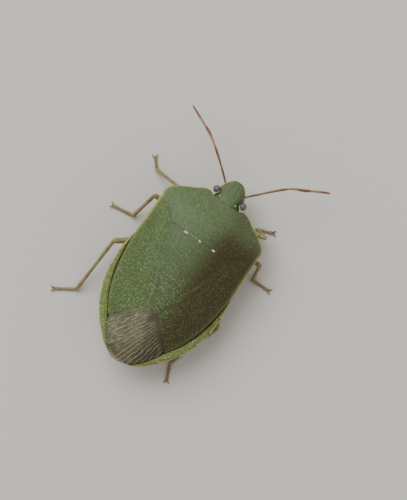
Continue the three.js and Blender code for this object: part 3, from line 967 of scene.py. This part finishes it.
@dataclass
class Membrane:
    """The thin rear parts of the forewings. The right one lies on top."""

    half: float = 2.12
    spacing: float = 0.041
    hinge: tuple[float, float] = (-2.4, 5.6)
    columns: int = 260
    rows: int = 170

    def place(self, u: float, v: float) -> tuple[float, float]:
        """Give x and station."""
        x = -self.half * math.cos(math.pi * mix(0.02, 0.98, (u + 1) / 2))
        return x, mix(chevron(x) - 0.1, self.rear(x), v)

    def rear(self, x: float) -> float:
        """Give the station of the free edge, which reaches further back on the left."""
        return tail_at(x - TAIL_LEAN * hump(x, 2.6 if x > 0 else 1.4))

    def vein(self, x: float, station: float) -> tuple[float, float]:
        """Work out the fan of veins and the wrinkles between them.

        Args:
            x: place across.
            station: place along the body.

        Returns:
            A signed wave, 1 on a vein and -1 between two, and its strength, 0 to 1.
        """
        ray = Vector((x, station)) - Vector(self.hinge)
        bearing = math.atan2(ray.x, ray.y)
        bend = 0.02 * noise.noise(Vector((x * 0.9, station * 0.9, 4.0)))
        bend += 0.007 * noise.noise(Vector((x * 3.0, station * 3.0, 9.0)))
        wave = math.cos((bearing + bend) * 2 * math.pi / self.spacing)
        return wave, smooth((station - chevron(x) - self.bare(x)) / 0.5)

    def bare(self, x: float) -> float:
        """Give how far the smooth strip beside the right wing reaches back from that wing's edge."""
        return 0.55 * smooth((0.15 - x) / 0.3) * smooth((2.1 + x) / 1.6)

    def relief(self, x: float, station: float) -> tuple[float, float, float]:
        """Give the height of the relief, and how much of a ridge and a valley it is."""
        wave, strength = self.vein(x, station)
        lean = x - 0.4 * station
        crumple = noise.noise(Vector((lean * 2.2, station * 1.1, 1.0)))
        small = noise.noise(Vector((lean * 6.0, station * 3.4, 2.0)))
        tiny = noise.noise(Vector((lean * 12.0, station * 8.0, 3.0)))
        rough = smooth((x + 0.2) / 1.2)
        even = smooth(crumple * 1.2 + small * 0.6 + mix(0.95, 0.4, rough))
        crinkle = small + tiny * 0.7
        ridge = max(
            smooth((wave - 0.62) / 0.38) * even,
            mix(0.2, 0.6, rough) * smooth((crinkle - 0.15) / 0.35),
        )
        valley = max(
            smooth((0.7 - abs(wave - 0.05)) / 0.5) * even,
            mix(0.2, 0.6, rough) * smooth((-crinkle - 0.15) / 0.35),
        )
        height = (0.045 * ridge - 0.02 * valley + 0.02 * crumple) * strength + 0.008 * tiny
        return height, ridge * strength, valley * (1 - ridge) * strength

    def edge(self, x: float, v: float) -> float:
        """Give the distance to the free edge."""
        return max(0.0, (1 - v) * (self.rear(x) - chevron(x)))

    def upper(self, x: float, station: float, u: float, v: float) -> float:
        """Give the height of the upper face, tucked under the leathery parts in front."""
        height, _, _ = self.relief(x, station)
        ahead = station - chevron(x)
        tucked = 0.03 + 0.04 * (1 - smooth(ahead / 0.1))
        shown = smooth(ahead / 0.15) * smooth(self.edge(x, v) / 0.15)
        return back(x, station) - tucked - droop(station) + height * shown

    def lower(self, x: float, station: float, u: float, v: float) -> float:
        """Give the height of the under face."""
        thin = mix(0.03, 0.12, smooth(self.edge(x, v) / 0.3))
        return self.upper(x, station, u, v) - thin

    def masks(self, x: float, station: float, u: float, v: float) -> dict[str, float]:
        """Give the ridges, the valleys and the browner right side, strongest in the smooth strip beside
        the right wing, as painted shade; the tail end is browner too.
        """
        _, ridge, valley = self.relief(x, station)
        reach = station - chevron(x) - self.bare(x)
        brown = 0.8 * smooth((0.3 - x) / 0.6) * (1 - smooth((reach + 0.2) / 0.8))
        # Painted shade: the right side of the membrane is made browner and darker.
        brown = max(brown, 0.9 * smooth((0.1 - x) / 1.5), 0.4 * smooth((station - 11.2) / 0.9))
        tail = smooth((station - ABDOMEN_TAIL + 0.12) / 0.15) * smooth((x + 0.4) / 0.3)
        return {"ridge": ridge * (1 - 0.3 * brown), "valley": valley, "brown": brown, "tail": tail}

    def build(self, material: bpy.types.Material) -> None:
        """Make the upper membrane and the one below it."""
        skin = Skin(*MEMBRANE_MASKS)
        skin.sheet(self.columns, self.rows, self.place, self.upper, self.lower, self.masks)
        skin.finish("membrane_right_skin", "membrane_right", material)
        under = Skin(*MEMBRANE_MASKS)
        under.sheet(
            60, 60, self.under_place,
            lambda x, station, u, v: self.lower(x, station, u, v) - 0.03,
            lambda x, station, u, v: self.lower(x, station, u, v) - 0.07,
            self.masks,
        )
        under.finish("membrane_left_skin", "membrane_left", material)

    def under_place(self, u: float, v: float) -> tuple[float, float]:
        """Give x and station of the membrane below."""
        x = mix(-0.9, 1.95, (u + 1) / 2)
        return x, mix(chevron(x) + 0.02, tail_at(abs(x) + 0.05) - 0.06, v)


@dataclass
class Abdomen:
    """The abdomen, whose bright, notched rim shows beside the wings."""

    segments: int = 7
    rings: int = 220
    sides: int = 180
    front: float = THORAX_REAR + 0.02

    def along(self, station: float) -> tuple[float, float]:
        """Give the segment that a station lies in, and the share of the way through it."""
        length = (ABDOMEN_TAIL - self.front) / self.segments
        place = (station - self.front) / length
        return min(int(place), self.segments - 1), place - min(int(place), self.segments - 1)

    def rim(self, station: float) -> float:
        """Give the height of the rim, lowest where the groove beside the wings is deepest."""
        return EDGE_HEIGHT(station) - 0.12 - 0.18 * hump(station - 7.3, 3.6)

    def shape(self, share: float, turn: float) -> tuple[float, float, float]:
        """Give the body's surface."""
        inner, opened = capped(share, 0.03)
        station = mix(self.front, ABDOMEN_TAIL, inner)
        _, within = self.along(station)
        tooth = 0.06 * (within - 0.4) * smooth((1 - within) / 0.06)
        seam = hump(min(within, 1 - within), 0.07)
        half = (ABDOMEN_HALF(station) + tooth) * opened
        c, s = math.cos(turn), math.sin(turn)
        x = half * c
        rim = self.rim(station)
        if s >= 0:
            wing = WING_HALF(station)
            rear = smooth((station - 11.2) / 0.7)
            shallow = mix(0.16, 0.08, smooth((station - 9.8) / 1.4)) * (1 - rear)
            sunk = shallow * smooth((wing + 0.03 - abs(x)) / 0.14)
            near = mix(0.15, 0.23, smooth((wing - abs(x)) / 0.35))
            cover = mix(plate_depth(x, station) + 0.16, droop(station) + near, rear)
            under = back(x, station) - cover if abs(x) < wing else rim
            flat = min(under, rim + 0.9 * smooth((wing - abs(x)) / 1.4))
            band = min(max((abs(x) - wing) / max(half - wing, 0.05), 0.0), 1.0)
            swell = 0.1 * math.sin(math.pi * min(band, 0.5)) * smooth((half - wing) / 0.3)
            z = flat - sunk + swell - rolled(half - abs(x), 0.12) - 0.02 * seam
            bed = 0.42 * smooth((station - 8.2) / 0.4) * smooth((wing - 0.1 - abs(x)) / 0.4)
            z -= bed * (1 - rear)
            z -= 0.014 * pits(x, station)
        else:
            side = rim - 0.08
            edge = (1 - abs(c) ** 30) ** 0.5
            fall = (1 - abs(c) ** 1.9) ** 0.8
            full = 0.4 + 0.6 * smooth((ABDOMEN_TAIL - station) / 0.5)
            low = mix(rim - 0.45, BELLY_HEIGHT(station), full)
            z = side - 0.16 * edge - (side - 0.16 - low) * fall + 0.035 * seam * edge
        return x, station, z

    def masks(self, x: float, station: float, height: float) -> dict[str, float]:
        """Paint the pale orange edge, the dark notches, a painted shadow in the groove beside the wings,
        and the texture.
        """
        _, within = self.along(station)
        half = ABDOMEN_HALF(station)
        out = half - abs(x)
        margin = 0.85 * (1 - smooth((out - 0.02) / 0.06))
        margin *= smooth((height - self.rim(station) + 0.12) / 0.05)
        corner = hump(min(within, 1 - within), 0.08) * (1 - smooth((out - 0.08) / 0.12))
        # Painted shadow: the groove beside the wings is darkened where the wing's edge shades it.
        groove = 1 - smooth((abs(x) - WING_HALF(station)) / 0.16)
        return {
            "pit": pits(x, station), "fleck": 1.0, "margin": margin * (1 - corner),
            "dark": max(0.5 * corner, 0.7 * groove * hump(station - 7.3, 3.4)),
        }

    def build(self, material: bpy.types.Material) -> None:
        """Make the abdomen."""
        skin = Skin(*CUTICLE_MASKS)
        skin.loft(self.rings, self.sides, self.shape, self.masks)
        skin.finish("abdomen_skin", "abdomen", material)


@dataclass
class Thorax:
    """The underside of the chest, in three bands, with the sockets of the legs."""

    rings: int = 120
    sides: int = 140
    seams: tuple[float, ...] = (1.95, 3.15)
    sockets: tuple[tuple[float, float], ...] = ((0.62, 1.35), (0.8, 2.55), (0.95, 3.75))

    def shape(self, share: float, turn: float) -> tuple[float, float, float]:
        """Give the chest's surface."""
        inner, opened = capped(share, 0.05)
        station = mix(SHIELD_FRONT - 0.1, THORAX_REAR + 0.05, inner)
        half = THORAX_HALF(station) * opened
        c, s = math.cos(turn), math.sin(turn)
        x = half * c
        cover = back(x, station) - plate_depth(x, station) - 0.06
        side = cover if s >= 0 else back(half, station) - plate_depth(half, station) - 0.06
        if s >= 0:
            return x, station, side
        seam = sum(hump(station - place + 0.25 * abs(c), 0.12) for place in self.seams)
        fall = (1 - abs(c) ** 1.55) ** 0.8
        z = mix(side, BELLY_HEIGHT(station), fall) + 0.05 * seam * (1 - abs(c) ** 8)
        pit = pits(x, station, 0.2)
        socket = max(hump(math.hypot(abs(x) - sx, station - sy), 1.3) for sx, sy in self.sockets)
        return x, station, z + 0.02 * pit * (1 - socket) + 0.06 * socket

    def masks(self, x: float, station: float, height: float) -> dict[str, float]:
        """Give the texture and a darker scent pore beside each middle leg."""
        pore = hump(math.hypot(abs(x) - 1.75, (station - 3.3) * 2), 0.3)
        return {"pit": pits(x, station, 0.2), "fleck": 0.6, "dark": 0.6 * pore}

    def build(self, material: bpy.types.Material) -> None:
        """Make the chest."""
        skin = Skin(*CUTICLE_MASKS)
        skin.loft(self.rings, self.sides, self.shape, self.masks)
        skin.finish("thorax_skin", "thorax", material)


@dataclass
class Head:
    """The flat head with its grooves, eyes and ocelli."""

    rings: int = 130
    sides: int = 140
    groove: float = 0.31
    eye_place: tuple[float, float, float] = (1.04, -0.07, 2.62)
    eye_radius: tuple[float, float, float] = (0.23, 0.255, 0.27)
    rim_turns: tuple[float, ...] = (85, 105, 125, 145, 165, 185)
    ocellus_place: tuple[float, float] = (0.6, 0.2)
    ocellus_radius: float = 0.065

    def brim(self, station: float) -> float:
        """Give the height of the head's side edge."""
        return mix(HEAD_UNDER(station), HEAD_TOP(station), 0.45)

    def top(self, x: float, station: float) -> float:
        """Give the height of the head's upper face, without its punctures."""
        half = HEAD_HALF(station)
        share = min(abs(x) / half, 1.0)
        brim = self.brim(station)
        line = self.groove * mix(0.8, 1.0, smooth((station + 0.9) / 0.9))
        cut = 0.05 * hump(share - line, 0.1) * smooth((-0.1 - station) / 0.3)
        return mix(HEAD_TOP(station), brim, share**2.6) - cut

    def shape(self, share: float, turn: float) -> tuple[float, float, float]:
        """Give the head's surface."""
        inner, opened = capped(share, 0.07)
        station = mix(HEAD_TIP + 0.01, HEAD_REAR, inner)
        half = HEAD_HALF(station) * opened
        c, s = math.cos(turn), math.sin(turn)
        x = half * c
        brim = self.brim(station)
        if s >= 0:
            pit = pits(x, station, 0.13)
            z = self.top(x, station) - 0.012 * pit * smooth((half - abs(x)) / 0.1)
            return x, station, mix(brim, z, opened)
        fall = (1 - c * c) ** 0.6
        return x, station, mix(brim, HEAD_UNDER(station), fall * opened)

    def masks(self, x: float, station: float, height: float) -> dict[str, float]:
        """Give the texture, the pale brim beside each eye and the painted shade behind it."""
        half = HEAD_HALF(station)
        brim = (1 - smooth((half - abs(x) - 0.02) / 0.05)) * hump(station + 0.72, 0.5) * 0.8
        # Painted shade between each eye and the pronotum.
        eye_gap_shade = 0.7 * smooth((station - 0.12) / 0.1) * smooth((abs(x) - 0.74) / 0.1)
        return {"pit": pits(x, station, 0.13), "fleck": 0.35, "margin": brim, "dark": eye_gap_shade}

    def build(self, cuticle: bpy.types.Material, eye: bpy.types.Material) -> None:
        """Make the head, the eyes, their pale rims and the ocelli."""
        skin = Skin(*CUTICLE_MASKS)
        skin.loft(self.rings, self.sides, self.shape, self.masks)
        for side in Side:
            self.add_ocellus(skin, side)
            self.add_rim(skin, side)
            self.add_socket(skin, side)
        skin.finish("head_skin", "head", cuticle)
        for side in Side:
            self.build_eye(side, eye)

    def add_ocellus(self, skin: Skin, side: Side) -> None:
        """Add one small simple eye on the head's rear, painted pale yellow as its glint: painted
        highlight.
        """
        x = side.value * self.ocellus_place[0]
        station = self.ocellus_place[1]
        made = bmesh.ops.create_icosphere(skin.bm, subdivisions=3, radius=self.ocellus_radius * MM)
        centre = PLAN.point(x, station, self.top(x, station) + 0.01)
        for vert in made["verts"]:
            vert.co = vert.co + centre
            # The pale colour stands for the ocellus's glint: painted highlight.
            skin.mark(vert, {"margin": 0.3, "glow": 1.0, "spot": 0.25})

    def add_rim(self, skin: Skin, side: Side) -> None:
        """Add the pale rim round the inner rear of one eye."""
        x, station, z = self.eye_place
        path = []
        for degrees in self.rim_turns:
            turn = math.radians(degrees)
            across = x + 0.235 * math.cos(turn)
            path.append(Vector((side.value * across, station + 0.26 * math.sin(turn), z + 0.11)))
        skin.limb(path, Curve((0, 0.02), (0.3, 0.06), (0.7, 0.06), (1, 0.02)), 30, 10,
                  values=lambda share: {"margin": 0.5, "glow": 1.0, "spot": 0.1})

    def add_socket(self, skin: Skin, side: Side) -> None:
        """Add the short tubercle that carries one antenna."""
        path = [Vector((side.value * 0.42, -0.3, 2.08)), Vector((side.value * 0.66, -0.62, 2.18))]
        skin.limb(path, Curve((0, 0.42), (0.6, 0.4), (1, 0.3)), 20, 24)

    def build_eye(self, side: Side, material: bpy.types.Material) -> None:
        """Make one compound eye with its facets."""
        skin = Skin()
        x, station, z = self.eye_place
        made = bmesh.ops.create_icosphere(skin.bm, subdivisions=6, radius=1.0)
        for vert in made["verts"]:
            near, _ = noise.voronoi(vert.co * 9.0)
            puff = 1 + 0.012 * (1 - smooth(near[0] / 0.6)) - 0.012
            rx, ry, rz = self.eye_radius
            vert.co = PLAN.point(
                side.value * x + vert.co.x * rx * puff,
                station + vert.co.y * ry * puff,
                z + vert.co.z * rz * puff,
            )
        skin.finish(f"eye_{side.word}_lens", f"eye_{side.word}", material)


@dataclass(frozen=True)
class LegPose:
    """One leg's places: half width, station and height of hip, knee, ankle and toe."""

    name: str
    side: Side
    hip: tuple[float, float, float]
    knee: tuple[float, float, float]
    ankle: tuple[float, float, float]
    toe: tuple[float, float]
    thigh: float = 0.46
    shin: float = 0.25


FORE_HIP = (0.62, 1.35, 1.05)
MID_HIP = (0.8, 2.55, 0.95)
HIND_HIP = (0.95, 3.75, 0.9)
LEGS = (
    LegPose("fore_left", Side.LEFT, FORE_HIP,
            (3.25, 1.22, 2.05), (4.98, 1.1, 0.3), (5.5, 0.52), 0.42, 0.23),
    LegPose("fore_right", Side.RIGHT, FORE_HIP,
            (3.38, 0.76, 2.05), (2.62, 0.6, 0.3), (3.6, 0.2), 0.42, 0.23),
    LegPose("mid_left", Side.LEFT, MID_HIP, (4.1, 2.56, 2.2), (4.54, 4.45, 0.3), (5.96, 4.64)),
    LegPose("mid_right", Side.RIGHT, MID_HIP, (4.08, 2.42, 2.3), (4.27, 3.5, 0.3), (5.48, 3.46)),
    LegPose("hind_left", Side.LEFT, HIND_HIP, (4.62, 6.5, 2.1), (4.86, 10.5, 0.3), (6.08, 11.3), 0.52),
    LegPose("hind_right", Side.RIGHT, HIND_HIP, (4.14, 7.35, 2.0), (2.92, 11.0, 0.3), (3.36, 12.05), 0.52),
)


@dataclass
class Leg:
    """One leg: coxa, trochanter, femur, tibia, three joints of the foot and two claws."""

    pose: LegPose
    foot_height: float = 0.11
    hair_length: float = 0.13
    hairs: int = 110
    overlap: float = 0.09

    def point(self, place: tuple[float, float, float]) -> Vector:
        """Put a place of the pose on the leg's own side."""
        return Vector((self.pose.side.value * place[0], place[1], place[2]))

    def bowed(self, start: Vector, end: Vector, rise: float) -> list[Vector]:
        """Give a path from start to end that bows upwards a little."""
        lift = Vector((0, 0, rise))
        return [start, start.lerp(end, 0.33) + lift, start.lerp(end, 0.67) + lift, end]

    def build(self, material: bpy.types.Material) -> None:
        """Make the leg."""
        skin = Skin(*LIMB_MASKS)
        hip, knee, ankle = (self.point(p) for p in (self.pose.hip, self.pose.knee, self.pose.ankle))
        toe = self.point((*self.pose.toe, self.foot_height))
        inward = Vector((-0.1 * self.pose.side.value, 0, 0.3))
        thigh, shin = self.pose.thigh, self.pose.shin
        skin.limb([hip + inward, hip], Curve((0, 0.7), (0.5, 0.72), (1, 0.46)), 24, 28)
        start = hip.lerp(knee, 0.1)
        skin.limb([hip, start], Curve((0, 0.36), (0.5, 0.42), (1, 0.34)), 16, 24)
        shape = Curve(
            (0, thigh * 0.6), (0.25, thigh * 0.94), (0.5, thigh), (0.8, thigh * 0.78), (1, thigh * 0.66),
        )
        bend = self.overlap * (knee - start).normalized()
        skin.limb(self.bowed(start, knee + bend, 0.06), shape, 60, 24,
                  values=lambda share: {"pale": 0.9 * smooth((1 - share) / 0.3)})
        shape = Curve((0, shin * 0.86), (0.08, shin), (0.5, shin * 0.86), (0.9, shin), (1, shin * 0.94))
        along = self.overlap * (ankle - knee).normalized()
        shank = self.bowed(knee - along, ankle + along, 0.04)
        skin.limb(shank, shape, 60, 20, values=lambda share: {"band": 0.3 * smooth((share - 0.7) / 0.3)})
        self.add_foot(skin, knee, ankle, toe)
        self.add_hairs(skin, shank, shape)
        node = f"leg_{self.pose.name}"
        skin.finish(f"{node}_skin", node, material)

    def add_foot(self, skin: Skin, knee: Vector, ankle: Vector, toe: Vector) -> None:
        """Add the three joints of the foot, the claws and the pads between them."""
        heel = Vector((ankle.x, ankle.y, self.foot_height + 0.02))
        ahead = (toe - heel).normalized()
        aside = Vector((-ahead.y, ahead.x, 0.0))
        skin.limb([ankle.lerp(knee, 0.05), heel + ahead * 0.12], Curve((0, 0.22), (1, 0.19)), 20, 20)
        joints = (0.0, 0.45, 0.64, 1.0)
        widths = ((0.18, 0.22), (0.17, 0.2), (0.16, 0.22))
        for (begin, end), (root, tip) in zip(zip(joints, joints[1:]), widths):
            path = [heel.lerp(toe, begin - 0.04), heel.lerp(toe, end + 0.02)]
            shape = Curve((0, root), (0.75, tip), (1, tip * 0.82))
            skin.limb(path, shape, 28, 20, floor=0.0,
                      values=lambda share: {"band": 0.25 + 0.2 * share})
        for way in (-1, 1):
            out = aside * way
            claw = [toe + out * 0.04, toe + ahead * 0.14 + out * 0.13 + Vector((0, 0, 0.06)),
                    toe + ahead * 0.27 + out * 0.16 - Vector((0, 0, 0.07))]
            skin.limb(claw, Curve((0, 0.1), (0.6, 0.07), (1, 0.015)), 24, 12, floor=0.0,
                      values=lambda share: {"tip": smooth((share - 0.25) / 0.5)})
            pad = [toe + out * 0.03, toe + ahead * 0.15 + out * 0.06 - Vector((0, 0, 0.05))]
            skin.limb(pad, Curve((0, 0.06), (0.7, 0.1), (1, 0.08)), 14, 12, flatten=0.6, floor=0.0,
                      values=lambda share: {"pale": 0.6})

    def add_hairs(self, skin: Skin, shank: Sequence[Vector], shape: Curve) -> None:
        """Scatter fine hairs over the tibia, leaning towards the foot."""
        draw = random.Random(f"hairs {self.pose.name}")
        for _ in range(self.hairs):
            share = mix(0.08, 0.97, draw.random())
            centre, ahead = follow(shank, share)
            out = outward(ahead, draw.uniform(0, 2 * math.pi))
            root = centre + out * shape(share) * 0.46
            length = self.hair_length * draw.uniform(0.7, 1.2)
            tip = root + (out + ahead * 1.1).normalized() * length
            if tip.z > 0.02:
                skin.bristle(root, tip, 0.018, {"pale": 0.4})


@dataclass
class Antenna:
    """One antenna of five joints, banded with red-brown."""

    side: Side
    points: tuple[tuple[float, float, float], ...]
    joints: tuple[float, ...] = (0.0, 0.1, 0.3, 0.53, 0.77, 1.0)
    width: float = 0.17
    hairs: int = 120

    def build(self, material: bpy.types.Material) -> None:
        """Make the antenna."""
        skin = Skin(*LIMB_MASKS)
        path = [Vector(p) for p in self.points]
        bands = (
            lambda s: {"band": 0.05}, lambda s: {"band": 0.12 * s},
            lambda s: {"band": 0.15 + 0.7 * smooth((s - 0.55) / 0.25)},
            lambda s: {"pale": 0.5 * (1 - smooth((s - 0.4) / 0.15)),
                       "band": 0.85 * smooth((s - 0.42) / 0.2)},
            lambda s: {"pale": 0.5 * (1 - smooth((s - 0.42) / 0.15)),
                       "band": 0.85 * smooth((s - 0.45) / 0.2)},
        )
        sizes = ((1.35, 1.25), (0.8, 0.9), (0.85, 1.0), (0.95, 1.15), (0.95, 0.8))
        for i, (root, tip) in enumerate(sizes):
            begin, end = self.joints[i], self.joints[i + 1]
            first, last = max(begin - 0.008, 0.0), min(end + 0.008, 1.0)
            part = [follow(path, mix(first, last, k / 6))[0] for k in range(7)]
            shape = Curve(
                (0, self.width * root * 0.8), (0.35, self.width * root), (0.8, self.width * tip),
                (1, self.width * tip * (0.85 if i < 4 else 0.45)),
            )
            skin.limb(part, shape, 40, 18, values=bands[i])
        self.add_hairs(skin, path)
        node = f"antenna_{self.side.word}"
        skin.finish(f"{node}_skin", node, material)

    def add_hairs(self, skin: Skin, path: Sequence[Vector]) -> None:
        """Scatter fine hairs over the outer joints."""
        draw = random.Random(f"hairs {self.side.word}")
        for _ in range(self.hairs):
            share = mix(0.32, 0.93, draw.random())
            centre, ahead = follow(path, share)
            out = outward(ahead, draw.uniform(0, 2 * math.pi))
            root = centre + out * self.width * 0.4
            skin.bristle(root, root + (out + ahead).normalized() * 0.09, 0.014, {"pale": 0.5})


ANTENNAE = (
    Antenna(Side.LEFT, (
        (0.55, -0.42, 2.1), (0.95, -0.86, 2.3), (1.75, -1.53, 2.75), (2.48, -2.1, 2.95),
        (3.37, -2.72, 2.8), (4.21, -3.12, 2.45), (5.42, -3.66, 1.9),
    )),
    Antenna(Side.RIGHT, (
        (-0.55, -0.42, 2.1), (-0.95, -0.82, 2.3), (-1.46, -1.35, 2.65), (-2.2, -2.12, 2.95),
        (-2.95, -2.79, 2.9), (-3.67, -3.17, 2.7), (-4.55, -3.68, 2.35), (-5.22, -4.02, 2.0),
    )),
)


@dataclass
class Rostrum:
    """The beak of four joints, folded back between the legs."""

    points: tuple[tuple[float, float], ...] = (
        (-0.92, 1.86), (-0.7, 1.55), (-0.1, 1.35), (0.8, 1.15), (2.0, 0.75), (3.3, 0.68),
    )
    joints: tuple[float, ...] = (0.0, 0.27, 0.55, 0.8, 1.0)

    def build(self, material: bpy.types.Material) -> None:
        """Make the beak."""
        skin = Skin(*LIMB_MASKS)
        path = [Vector((0, station, z)) for station, z in self.points]
        for i, (begin, end) in enumerate(zip(self.joints, self.joints[1:])):
            part = [follow(path, mix(begin, end, k / 5))[0] for k in range(6)]
            width = mix(0.36, 0.2, (i + 1) / 4)
            last = 0.35 if i == 3 else 0.85
            tip = 1.0 if i == 3 else 0.0
            skin.limb(part, Curve((0, width * 0.85), (0.4, width), (1, width * last)), 36, 20,
                      values=lambda share, tip=tip: {"tip": tip * smooth((share - 0.5) / 0.4)})
        skin.finish("rostrum_skin", "rostrum", material)


@dataclass
class Studio:
    """The plain floor, the soft lights and the camera at the photograph's angle."""

    eye_pixel: tuple[float, float] = (229.4, 198.6)
    forward: tuple[float, float] = (0.5686, 0.8227)
    pixels_per_mm: float = 15.5
    image: tuple[int, int] = (407, 500)
    distance: float = 0.2
    lights: tuple[tuple[str, float, float, float, float], ...] = (
        ("key", 118.0, 55.0, 1.3, 0.3), ("fill", -40.0, 40.0, 0.1, 0.4),
    )
    lamp_distance: float = 0.4
    floor_size: float = 0.6
    floor_colour: tuple[float, float, float] = (214, 210, 204)
    sky: tuple[float, float, float, float] = (1.0, 0.99, 0.95, 1.0)
    sky_strength: float = 0.55
    sensor: float = 36.0

    def plan_direction(self, right: float, up: float) -> Vector:
        """Turn a direction of the image into one of the floor."""
        ahead = Vector((0, -1, 0))
        along = self.forward[0] * right + self.forward[1] * up
        starboard = Vector((-1, 0, 0))
        across = self.forward[1] * right - self.forward[0] * up
        return ahead * along + starboard * across

    def build(self) -> None:
        """Make floor, camera, lights and background."""
        self.make_floor()
        self.make_camera()
        self.make_lights()

    def make_floor(self) -> None:
        """Make the plain pale floor."""
        bm = bmesh.new()
        bmesh.ops.create_grid(bm, x_segments=8, y_segments=8, size=self.floor_size)
        mesh = bpy.data.meshes.new("floor")
        bm.to_mesh(mesh)
        bm.free()
        floor = placed("floor", mesh)
        shader = Shader("plain_floor", 0.8, specular=0.2)
        shader.surface.inputs["Base Color"].default_value = rgb(*self.floor_colour)
        mesh.materials.append(shader.material)

    def make_camera(self) -> None:
        """Look straight down, turned so that the animal lies as in the photograph."""
        right = (self.image[0] / 2 - self.eye_pixel[0]) / self.pixels_per_mm
        up = (self.eye_pixel[1] - self.image[1] / 2) / self.pixels_per_mm
        target = PLAN.point(0, 0, 3.0) + self.plan_direction(right, up) * MM
        camera = placed("camera", bpy.data.cameras.new("camera"))
        tall = self.image[1] / self.pixels_per_mm * MM
        camera.data.sensor_width = self.sensor
        camera.data.lens = self.sensor * self.distance / tall
        camera.data.clip_start = 0.001
        camera.location = target + Vector((0, 0, self.distance))
        up_axis = self.plan_direction(0, 1)
        right_axis = self.plan_direction(1, 0)
        camera.rotation_euler = Matrix((right_axis, up_axis, Vector((0, 0, 1)))).transposed().to_euler()
        bpy.context.scene.camera = camera

    def make_lights(self) -> None:
        """Make the soft key light from the upper left of the image, a fill, and an even sky."""
        for name, bearing, height, power, size in self.lights:
            light = bpy.data.lights.new(name, "AREA")
            light.energy = power
            light.size = size
            lamp = placed(name, light)
            turn, rise = math.radians(bearing), math.radians(height)
            level = self.plan_direction(math.cos(turn), math.sin(turn))
            away = level * math.cos(rise) + Vector((0, 0, math.sin(rise)))
            lamp.location = away * self.lamp_distance
            lamp.rotation_euler = away.to_track_quat("Z", "Y").to_euler()
        world = bpy.data.worlds.new("studio")
        world.use_nodes = True
        sky = world.node_tree.nodes["Background"]
        sky.inputs["Color"].default_value = self.sky
        sky.inputs["Strength"].default_value = self.sky_strength
        bpy.context.scene.world = world


def build_bug() -> None:
    """Make every piece of the animal, from the back down to the feet."""
    shield = CuticleFinish("green_cuticle", (91, 110, 74), (54, 68, 26)).build()
    wing = CuticleFinish("green_wing", (86, 106, 60), (60, 76, 36)).build()
    rim = CuticleFinish(
        "bright_rim", (116, 132, 68), (88, 106, 44), fleck=(176, 186, 128), browning=0.4,
    ).build()
    belly = CuticleFinish("pale_belly", (150, 172, 92), (118, 142, 62), browning=0.0).build()
    Pronotum("pronotum_skin", "pronotum", "green_cuticle", 300, 120).build(shield)
    Scutellum("scutellum_skin", "scutellum", "green_cuticle", 150, 190).build(shield)
    for side in Side:
        node = f"corium_{side.word}"
        Corium(f"{node}_skin", node, "green_wing", 120, 230, side=side).build(wing)
    Membrane().build(MembraneFinish().build())
    Abdomen().build(rim)
    Thorax().build(belly)
    Head().build(shield, EyeFinish().build())
    # The legs' tan is partly their own colour and partly a painted reflection of red surroundings.
    leg_finish = LimbFinish(
        "leg_cuticle", (150, 134, 88), (118, 106, 62), band=(128, 92, 56), pale=(130, 140, 72),
    ).build()
    for pose in LEGS:
        Leg(pose).build(leg_finish)
    antenna_finish = LimbFinish(
        "banded_antenna", (124, 102, 66), (100, 78, 50), band=(120, 66, 44), pale=(172, 140, 104),
    ).build()
    for antenna in ANTENNAE:
        antenna.build(antenna_finish)
    Rostrum().build(leg_finish)


def main() -> None:
    """Build the animal and its studio."""
    logging.basicConfig(level=logging.INFO, format="%(name)s: %(message)s")
    build_bug()
    Studio().build()


if __name__ == "__main__":
    main()
